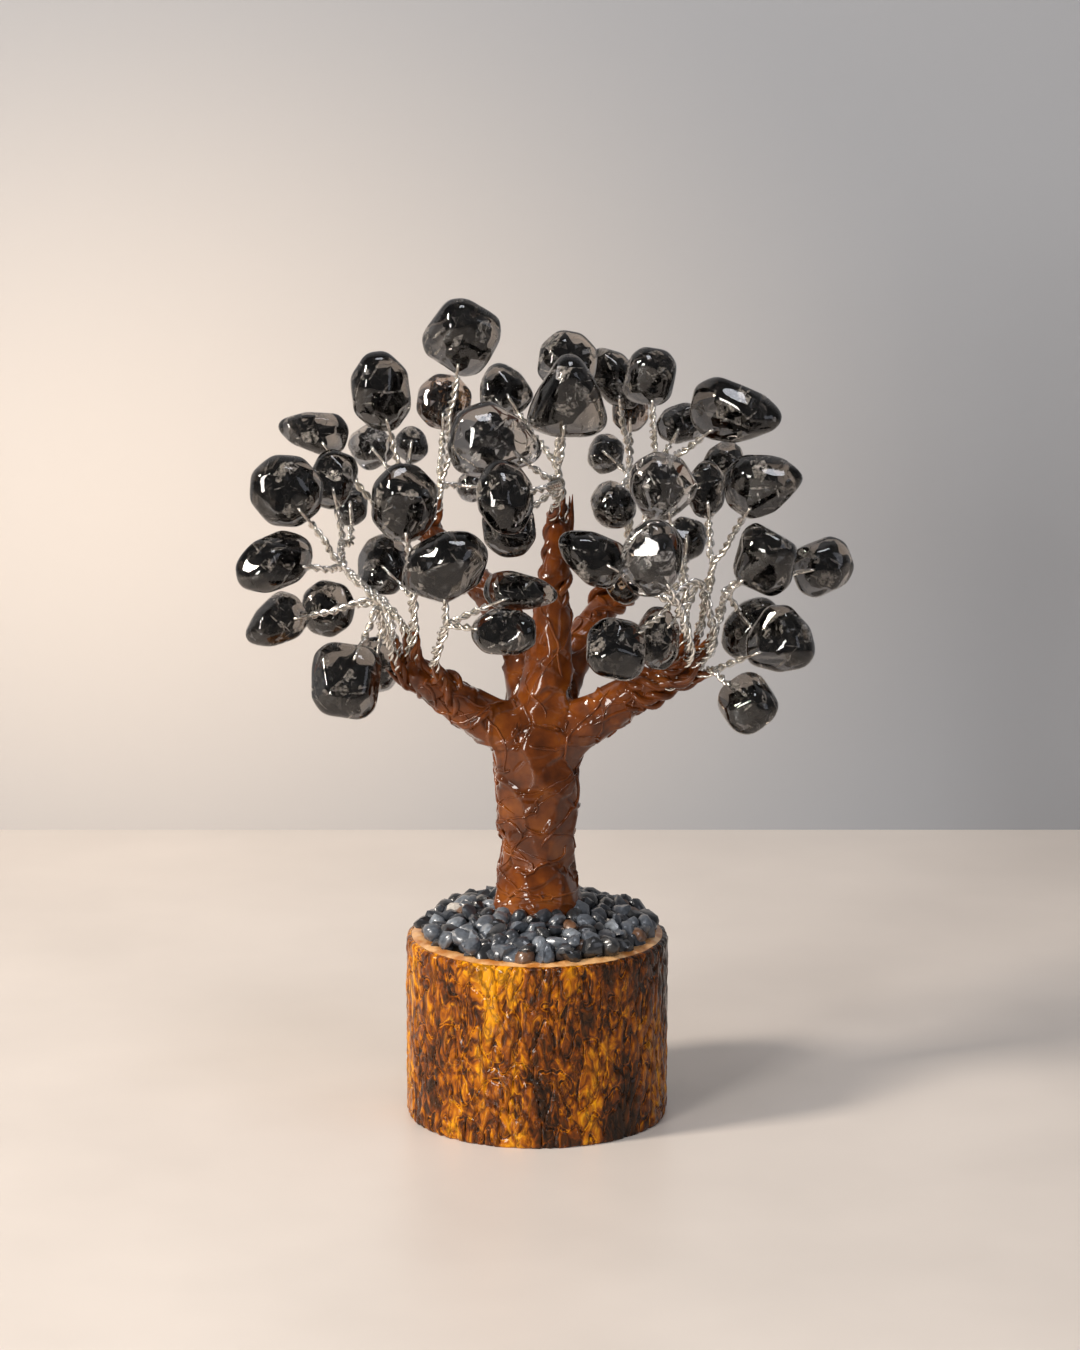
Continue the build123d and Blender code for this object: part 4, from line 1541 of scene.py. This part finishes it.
    def fold(
        self, points: np.ndarray, outward: np.ndarray, runs: list[tuple[np.ndarray, np.ndarray]]
    ) -> np.ndarray:
        """Press the wound tape into the skin: flat scraps, raised edges where turns cross, and drops.

        Args:
            points: Points of the skin in mm, which are moved.
            outward: The way out of the skin at each point.
            runs: Centre points and radii of each run.

        Returns:
            How near each point is to a seam between two scraps, from 0 to 1.
        """
        rng = np.random.default_rng(self.seed)
        chance = rng.random(CHANCES)
        norms = outward / np.maximum(np.linalg.norm(outward, axis=1), 1e-6)[:, None]
        along, around, size = self.unrolled(points, runs)
        rise = np.zeros(len(points))
        for layer, (pitch, turns) in enumerate(zip(self.tape_pitches, self.tape_turns)):
            drift = np.array([noise.noise(Vector(p) / 8.0 + Vector((0, 0, layer * 9.0))) for p in points])
            fade = np.array([noise.noise(Vector(p) / 5.0 + Vector((layer * 9.0, 5, 0))) for p in points])
            turn = along / pitch + turns * around / math.tau + 0.45 * drift
            slope = np.hypot(1 / pitch, turns / (math.tau * size))
            edge = np.round(turn).astype(int)
            gap = np.abs(turn - edge) / slope
            height = self.edge_height * chance[(edge + 700 * layer) % CHANCES] * np.clip(
                0.55 + 1.8 * fade, 0, 1
            )
            rise = np.maximum(rise, height * np.exp(-((gap / self.edge_width) ** 2)))
            strip = np.floor(turn).astype(int)
            rise += 0.2 * chance[(strip + 1900 + 700 * layer) % CHANCES]
        picks = rng.permutation(len(points))[: len(points) // 40]
        seeds, finder = [], kdtree.KDTree(len(picks))
        for k in picks:
            if all(np.linalg.norm(points[k] - points[s]) > self.scrap_spacing for s in seeds):
                finder.insert(points[k], len(seeds))
                seeds.append(k)
        finder.balance()
        beads = kdtree.KDTree(self.drops)
        for number, k in enumerate(rng.permutation(len(points))[: self.drops]):
            beads.insert(points[k], number)
        beads.balance()
        planes = norms[seeds] + rng.normal(0, 0.1, (len(seeds), 3))
        rest = points.copy()
        seams = np.zeros(len(points))
        for k, point in enumerate(rest):
            (_, scrap, near), (_, _, other) = finder.find_n(point, 2)
            seams[k] = max(0.0, 1 - (other - near) / 1.1)
            flat = -float(np.clip(planes[scrap] @ (point - rest[seeds[scrap]]), -0.7, 0.7)) * 0.75
            _, number, gap = beads.find(point)
            bead = max(0.0, 1 - (gap / (0.5 + 0.5 * chance[number])) ** 2) * 0.4
            points[k] += norms[k] * (flat + max(rise[k], bead) - 0.25)
        return seams

    def strands(self, tree: GeometryNodeTree, finish: Material) -> Object:
        """Twist taped strands out of each limb's end, one round each branch.

        Args:
            tree: The twisting nodes.
            finish: The tape.

        Returns:
            The strands as one mesh object.
        """
        rng = random.Random(self.seed + 2)
        paths, claws = [], []
        for limb in self.limbs:
            leader = limb.limb.name == "leader"
            thick = (2.7 if leader else 3.6) * MM
            back = (24.0, 13.0, 4.0) if leader else (13.0, 7.0, 1.5)
            for slot, branch in enumerate(limb.limb.branches):
                angle = limb.angle(slot)
                inside, outside, onward = limb.start(slot)
                if branch.root is None:
                    first, second, third = (limb.tip - limb.axis * length * MM for length in back)
                    points = [
                        first + limb.around(angle - 2.4) * thick * (1.45 if leader else 0.95),
                        second + limb.around(angle - 1.1) * thick * 0.95,
                        third + limb.around(angle - 0.2) * (thick * 0.4 + limb.ring * 0.5),
                        outside + limb.axis * 0.6 * MM + limb.around(angle) * 0.5 * MM,
                        outside + onward * 3.8 * MM,
                        outside + onward * 7.6 * MM,
                    ]
                    sizes = [0.8, 1.05, 1.05, 0.95, 0.75, 0.42]
                else:
                    lift = (outside - inside).normalized()
                    points = [
                        inside - limb.axis * 8 * MM + lift * thick * 0.6,
                        inside - limb.axis * 2 * MM + lift * thick * 0.8,
                        inside + lift * (thick + 2.0 * MM),
                        outside + onward * 4.0 * MM,
                        outside + onward * 8.5 * MM,
                    ]
                    sizes = [0.9, 1.2, 1.15, 0.9, 0.42]
                paths.append((points, sizes))
                for _ in range(2):
                    turn = limb.around(angle + rng.uniform(-1.1, 1.1))
                    lean = (onward + turn * rng.uniform(0.25, 0.5)).normalized()
                    claws.append((
                        [points[1].lerp(points[2], 0.6) + turn * 0.5 * MM, points[3] + turn * 0.9 * MM,
                         points[3] + lean * rng.uniform(3.6, 6.0) * MM],
                        [1.0, 0.8, 0.1],
                    ))
        parts = [
            with_nodes(
                path_object("limb_strands", paths), tree, strand_diameter=1.8 * MM, lay_radius=0.72 * MM,
                pitch=9 * MM, step=0.4 * MM, strands=2, sides=10, finish=finish,
            ),
            with_nodes(
                path_object("limb_claws", claws), tree, strand_diameter=1.7 * MM, lay_radius=0.0,
                pitch=10 * MM, step=0.4 * MM, strands=1, sides=10, finish=finish,
            ),
        ]
        return joined("limb_strands", parts)

    def threads(
        self, surface: Object, tree: GeometryNodeTree, finish: Material
    ) -> Object:
        """Wind thin strings of lacquer and thread over the trunk and limbs.

        Args:
            surface: The skin that they lie on.
            tree: The laying nodes.
            finish: The lacquered tape.

        Returns:
            The threads as one mesh object.
        """
        rng = random.Random(self.seed + 1)
        paths = []
        for run, (path, radii) in enumerate(self.skeleton()):
            first = 30 if run == 0 else 36
            last = len(path) - 4
            for _ in range(34 if run == 0 else 12):
                begin = rng.uniform(first, last)
                climb = rng.choice((-1, 1)) * rng.uniform(8, 34)
                start = rng.uniform(0, math.tau)
                turn = rng.choice((-1, 1)) * rng.uniform(0.5, 2.6)
                knots = []
                for k in range(14):
                    share = k / 13
                    at = min(max(begin + climb * share, first), last)
                    j = int(at)
                    axis = Vector(path[min(j + 1, len(path) - 1)] - path[max(j - 1, 0)]).normalized()
                    side = axis.orthogonal().normalized()
                    angle = start + turn * share + 0.3 * math.sin(6 * share + start)
                    way = side * math.cos(angle) + axis.cross(side) * math.sin(angle)
                    knots.append((Vector(path[j]) + way * radii[j] * 1.15) * MM)
                size = rng.uniform(0.5, 1.1)
                paths.append((knots, [0.2 * size, *[size] * 12, 0.2 * size]))
        return with_nodes(
            path_object("trunk_threads", paths), tree, surface=surface,
            thread_diameter=self.thread_diameter * MM, step=0.5 * MM, finish=finish,
        )

    def build(
        self,
        twist: GeometryNodeTree,
        lay: GeometryNodeTree,
        finish: Material,
    ) -> None:
        """Make the trunk and hand it to its body.

        Args:
            twist: The twisting nodes.
            lay: The laying nodes.
            finish: The lacquered tape.
        """
        skin = self.skin()
        skin.data.materials.append(finish)
        threads = self.threads(skin, lay, finish)
        strands = self.strands(twist, finish)
        trunk = joined("trunk_wrap_wound", [skin, threads, strands])
        shade_mesh(trunk.data)
        settle(trunk, "tree", "lacquered_wrap", "trunk_wrap")


@dataclass
class BarkedLog:
    """The log: sawn wood with its bark on, varnished."""

    radius: float = 27.85
    inner_radius: float = 26.6
    recess_radius: float = 23.6
    height: float = 39.5
    chamfer: float = 0.75
    recess_depth: float = 6.0
    rows: int = 100
    columns: int = 520
    furrow: float = 0.95
    plate_width: float = 2.6
    plate_length: float = 6.0
    seed: int = 3

    def relief(self, angle: float, height: float) -> float:
        """Height of the bark's plates over its furrows.

        Args:
            angle: Turn round the log in radians.
            height: Height above the floor in mm.

        Returns:
            A share, from 0 in a furrow to 1 on a plate.
        """
        x, y = math.cos(angle) * self.radius, math.sin(angle) * self.radius
        spot = Vector((x / self.plate_width, y / self.plate_width, height / self.plate_length))
        warp = noise.noise_vector(spot * 0.6) * 0.9
        ridge = 1 - abs(noise.noise(spot + warp)) * 2.0
        lump = noise.noise(Vector((x, y, height * 0.6)) / 1.5)
        return max(0.0, min(1.0, 0.62 * (1 - max(ridge, 0) ** 4) + 0.22 + 0.28 * lump))

    def bark(self, finish: Material) -> Object:
        """Make the ring of bark with its furrows.

        Args:
            finish: The varnished bark.

        Returns:
            The bark as a mesh object.
        """
        noise.seed_set(self.seed)
        verts, tones = [], []
        top = self.height - self.chamfer
        levels = [top * k / (self.rows - 1) for k in range(self.rows)]
        for level in levels:
            for k in range(self.columns):
                angle = math.tau * k / self.columns
                high = self.relief(angle, level)
                edge = min(level, top - level)
                radius = self.radius - self.furrow * (1 - high) - 0.35 * max(0.0, 1 - edge / 0.7) ** 2
                verts.append((radius * math.cos(angle), radius * math.sin(angle), level))
                tones.append(high)
        for level, radius in ((top + 0.25, self.inner_radius), (0.0, self.inner_radius)):
            for k in range(self.columns):
                angle = math.tau * k / self.columns
                way = Vector((math.cos(angle), math.sin(angle), level))
                sag = 0.12 * noise.noise(way * 14) if level else 0.0
                verts.append((radius * math.cos(angle), radius * math.sin(angle), level + sag))
                tones.append(0.4)
        faces = ring_faces(self.rows + 2, self.columns, closed=True)
        mesh = mesh_from("log_bark_furrowed", np.array(verts) * MM, faces)
        relief = mesh.attributes.new("relief", "FLOAT", "POINT")
        relief.data.foreach_set("value", tones)
        mesh.materials.append(finish)
        mesh.set_sharp_from_angle(angle=math.radians(65))
        return new_object("log_bark_furrowed", mesh)

    def wood(self, finish: Material) -> Object:
        """Make the sawn wood with its uneven rim.

        Args:
            finish: The sealed wood.

        Returns:
            The wood as a mesh object.
        """
        columns = 220
        floor = self.height - self.recess_depth
        outside = self.inner_radius - 0.04
        rings = (
            (0.0, 0.0), (outside, 0.0), (outside, self.height - self.chamfer + 0.2),
            (25.4, self.height - 0.1),
            (24.4, self.height), (self.recess_radius, self.height - 0.2), (self.recess_radius, floor),
            (0.0, floor),
        )
        verts = []
        for place, (radius, level) in enumerate(rings):
            for k in range(columns):
                angle = math.tau * k / columns
                way = Vector((math.cos(angle), math.sin(angle), 0.0))
                rim = level > self.height - 1
                jag = 0.3 * noise.noise(way * 13 + Vector((0, 0, place * 0.7))) if rim else 0.0
                inward = 0.4 * noise.noise(way * 16) if place == 5 else 0.0
                verts.append(((radius + inward) * way.x, (radius + inward) * way.y, level + jag))
        mesh = mesh_from("log_core_sawn", np.array(verts) * MM, ring_faces(len(rings), columns))
        form = bmesh.new()
        form.from_mesh(mesh)
        bmesh.ops.remove_doubles(form, verts=form.verts, dist=1e-6)
        bmesh.ops.recalc_face_normals(form, faces=form.faces)
        form.to_mesh(mesh)
        form.free()
        mesh.set_sharp_from_angle(angle=math.radians(40))
        mesh.materials.append(finish)
        return new_object("log_core_sawn", mesh)

    def build(self, bark: Material, wood: Material) -> None:
        """Make the log and hand it to its body.

        Args:
            bark: The varnished bark.
            wood: The sealed wood.
        """
        settle(self.bark(bark), "tree", "lacquered_bark", "log_bark")
        settle(self.wood(wood), "tree", "sawn_wood", "log_core")


@dataclass
class GravelHeap:
    """The chips of slate, heaped from the rim up to the trunk."""

    profile: tuple[tuple[float, float], ...] = (
        (9.0, 43.2), (12.0, 42.8), (15.0, 42.0), (18.0, 41.2), (20.8, 40.4), (23.2, 39.7),
    )
    spacing: float = 3.1
    chip: float = 5.7
    shapes: int = 6
    seed: int = 5

    def chips(self) -> Collection:
        """Make a few chip shapes, each a pebble ground flat on some sides."""
        group = bpy.data.collections.new("chip_shapes")
        for k in range(self.shapes):
            rng = random.Random(40 + k)
            ball = bmesh.new()
            bmesh.ops.create_icosphere(ball, subdivisions=2, radius=1.0)
            for vert in ball.verts:
                vert.co *= 1 + 0.22 * noise.noise(vert.co * 1.4 + Vector((k * 7.0, 0, 0)))
            for _ in range(5):
                way = random_way(rng)
                flat = rng.uniform(0.55, 0.8)
                for vert in ball.verts:
                    over = vert.co.dot(way) - flat
                    if over > 0:
                        vert.co -= way * over * 0.9
            size = Vector((0.5, rng.uniform(0.34, 0.44), rng.uniform(0.26, 0.36)))
            for vert in ball.verts:
                vert.co = vert.co * size
            mesh = bpy.data.meshes.new(f"chip_{k}")
            ball.to_mesh(mesh)
            ball.free()
            shade_mesh(mesh)
            mesh.set_sharp_from_angle(angle=math.radians(34))
            group.objects.link(bpy.data.objects.new(f"chip_{k}", mesh))
        return group

    def layer(
        self, rings: tuple[tuple[float, float], ...], lift: float, seed: int, chips: Collection,
        tree: GeometryNodeTree, finish: Material,
    ) -> Object:
        """Strew one layer of chips.

        Args:
            rings: Radius and height of the bed that it covers, from the middle out.
            lift: Height of their middles over the bed, in mm.
            seed: Seed of their places.
            chips: The chip shapes.
            tree: The strewing nodes.
            finish: The slate.

        Returns:
            The layer as a mesh object.
        """
        columns = 72
        verts = []
        for radius, level in rings:
            for k in range(columns):
                angle = math.tau * k / columns
                verts.append((radius * math.cos(angle), radius * math.sin(angle), level))
        faces = [[b, a, d, c] for a, b, c, d in ring_faces(len(rings), columns)]
        bed = new_object(f"gravel_layer_{seed}", mesh_from("gravel_bed", np.array(verts) * MM, faces))
        return with_nodes(
            bed, tree, shapes=chips, spacing=self.spacing * MM, smallest=self.chip * 0.78 * MM,
            largest=self.chip * 1.12 * MM, tumble=0.9, lift=lift * MM, seed=seed, finish=finish,
        )

    def build(self, tree: GeometryNodeTree, finish: Material) -> None:
        """Heap the gravel and hand it to its body.

        Args:
            tree: The strewing nodes.
            finish: The slate.
        """
        chips = self.chips()
        layers = [
            self.layer(rings, lift, self.seed + number, chips, tree, finish)
            for number, (rings, lift) in enumerate((
                (self.profile, 0.3), (self.profile[-2:], 0.6), (self.profile, 1.7),
            ))
        ]
        for obj in list(chips.objects):
            bpy.data.objects.remove(obj)
        bpy.data.collections.remove(chips)
        settle(joined("gravel_chips_strewn", layers), "tree", "slate_gravel", "gravel_chips")


@dataclass
class Studio:
    """A pale floor with a backdrop, soft lamps, and the camera."""

    floor: str = "#D4CCC4"
    wall_distance: float = 0.24
    half_floor: float = 3.0
    room_level: float = 0.2
    lens_mm: float = 125.7
    camera_spot: Share = (0.00064, -0.963, 0.308)
    camera_pitch: float = 77.52

    def sweep(self) -> None:
        """Lay the floor and stand the backdrop behind it."""
        half, far = self.half_floor, self.wall_distance
        flat = [(-half, -half, 0), (half, -half, 0), (half, far, 0), (-half, far, 0)]
        floor = new_object(
            "studio_floor", mesh_from("studio_floor", np.array(flat), [[0, 1, 2, 3]], smooth=False)
        )
        floor.data.materials.append(PlainFinish("matt_painted_board", self.floor, 0.38, 60).material())
        tall = [(-half, far, 0), (half, far, 0), (half, far, half), (-half, far, half)]
        wall = new_object(
            "studio_wall", mesh_from("studio_wall", np.array(tall), [[0, 1, 2, 3]], smooth=False)
        )
        wall.data.materials.append(PaperWithPaintedGlow().material())

    def lamp(
        self, name: str, spot: Share, aim: Share, size: tuple[float, float], watts: float, tint: str
    ) -> None:
        """Hang a soft lamp.

        Args:
            name: Name of the lamp.
            spot: Its place in metres.
            aim: The point that it faces.
            size: Width and height in metres.
            watts: Its power.
            tint: Its colour.
        """
        light = bpy.data.lights.new(name, "AREA")
        light.shape = "RECTANGLE"
        light.size, light.size_y = size
        light.energy = watts
        light.color = linear(tint)[:3]
        obj = bpy.data.objects.new(name, light)
        obj.location = spot
        obj.rotation_euler = (Vector(aim) - Vector(spot)).to_track_quat("-Z", "Y").to_euler()
        bpy.context.scene.collection.objects.link(obj)

    def build(self) -> None:
        """Set the stage, the light and the camera."""
        scene = bpy.context.scene
        scene.view_settings.view_transform = "Standard"
        world = bpy.data.worlds.new("soft_room")
        world.use_nodes = True
        room = world.node_tree.nodes["Background"]
        room.inputs["Color"].default_value = linear("#E8E6E6")
        room.inputs["Strength"].default_value = self.room_level
        scene.world = world
        self.sweep()
        middle = (0.0, 0.0, 0.10)
        self.lamp("key_softbox", (-0.86, -0.40, 0.72), middle, (0.18, 0.24), 13.0, "#FFF3E6")
        self.lamp("window_softbox", (-0.58, -0.93, 0.34), middle, (0.24, 0.4), 8.0, "#FFFAF4")
        self.lamp("top_softbox", (0.1, -0.3, 1.05), middle, (0.3, 0.3), 2.6, "#F4F6FF")
        self.lamp("fill_softbox", (0.9, -0.8, 0.45), middle, (0.5, 0.5), 1.0, "#EEF2FF")
        data = bpy.data.cameras.new("camera")
        data.sensor_fit = "AUTO"
        data.sensor_width = 36.0
        data.lens = self.lens_mm
        data.dof.use_dof = False
        camera = bpy.data.objects.new("camera", data)
        camera.location = self.camera_spot
        camera.rotation_euler = (math.radians(self.camera_pitch), 0, 0)
        scene.collection.objects.link(camera)
        scene.camera = camera


KINDS = {
    "stone_back_left_mid_b": StoneKind.PALE,
    "stone_back_left_top_c": StoneKind.PALE,
    "stone_right_tall_a": StoneKind.PALE,
    "stone_right_in_b": StoneKind.PALE,
    "stone_leader_side_a": StoneKind.PALE,
    "stone_back_left_top_b": StoneKind.BROWN,
    "stone_back_right_top_b": StoneKind.BROWN,
    "stone_right_tall_c": StoneKind.BROWN,
}


def make_stones() -> dict[str, TumbledStone]:
    """Make every stone at its hinge.

    Returns:
        The stones by their names.
    """
    skins = {
        StoneKind.SMOKY: QuartzSkin("smoky_quartz_polished", "#827A73", 5.0).material(),
        StoneKind.PALE: QuartzSkin("clear_quartz_polished", "#A8A4A2", 8.0).material(),
        StoneKind.BROWN: QuartzSkin("brown_quartz_polished", "#A98463", 7.0).material(),
    }
    hearts = {
        StoneKind.SMOKY: QuartzHeart("smoky_quartz_clouds", "#020202", "#0F0F10", "#6A6662").material(),
        StoneKind.PALE: QuartzHeart("grey_quartz_veils", "#101012", "#6A696C", "#CFCDCC").material(),
        StoneKind.BROWN: QuartzHeart("brown_quartz_clouds", "#0B0604", "#3A2415", "#8E6A4A").material(),
    }
    cracks = {
        StoneKind.SMOKY: HealedCrack("smoky_quartz_cracks", "#DAD5CE", 0.42).material(),
        StoneKind.PALE: HealedCrack("clear_quartz_cracks", "#EAE8E6", 0.45).material(),
        StoneKind.BROWN: HealedCrack("brown_quartz_cracks", "#D2A878", 0.42).material(),
    }
    places = {}
    for limb in LIMBS:
        for branch in limb.branches:
            for letter, shares in zip("abcd", branch.places):
                places[f"stone_{limb.name}_{branch.name}_{letter}"] = CROWN.place(shares)
    stones = {}
    for seed, joint in enumerate(frame["joints"]):
        label = joint["child"]
        kind = KINDS.get(label, StoneKind.SMOKY)
        bore, normal = Vector(joint["pos_m"]), Vector(joint["axis"]).normalized()
        stone = TumbledStone(label, bore, normal, places[label], kind, seed)
        stone.build(skins[kind], hearts[kind], cracks[kind])
        stones[label] = stone
    return stones


def main() -> None:
    """Build the ornament piece by piece, then the studio round it."""
    logging.basicConfig(level=logging.INFO, format="%(name)s: %(message)s", stream=sys.stdout)
    for scene_object in list(bpy.data.objects):
        if scene_object.type in {"CAMERA", "LIGHT"}:
            bpy.data.objects.remove(scene_object)
    twist = twist_tree()
    lay = thread_tree()
    strew = scatter_tree()
    BarkedLog().build(VarnishedBark().material(), SawnWood().material())
    GravelHeap().build(strew, SlateChip().material())
    fork = Vector((0, 0, FORK_HEIGHT)) * MM
    limbs = [LimbFrame(limb, fork) for limb in LIMBS]
    WrappedTrunk(limbs).build(twist, lay, LacqueredTape().material())
    stones = make_stones()
    wire = DrawnWire().material()
    for limb in limbs:
        WireSpray(limb, stones).build(twist, wire)
    for node, finish in (
        ("glue_bed", PlainFinish("set_craft_glue", "#17140F", 0.35, 2.0)),
        ("trunk_core_wires", PlainFinish("bundled_core_wire", "#A8A298", 0.35, 2.0, 1.0)),
    ):
        obj = frame["nodes"][node]
        obj.data.materials.clear()
        obj.data.materials.append(finish.material())
    Studio().build()


if __name__ == "__main__":
    main()
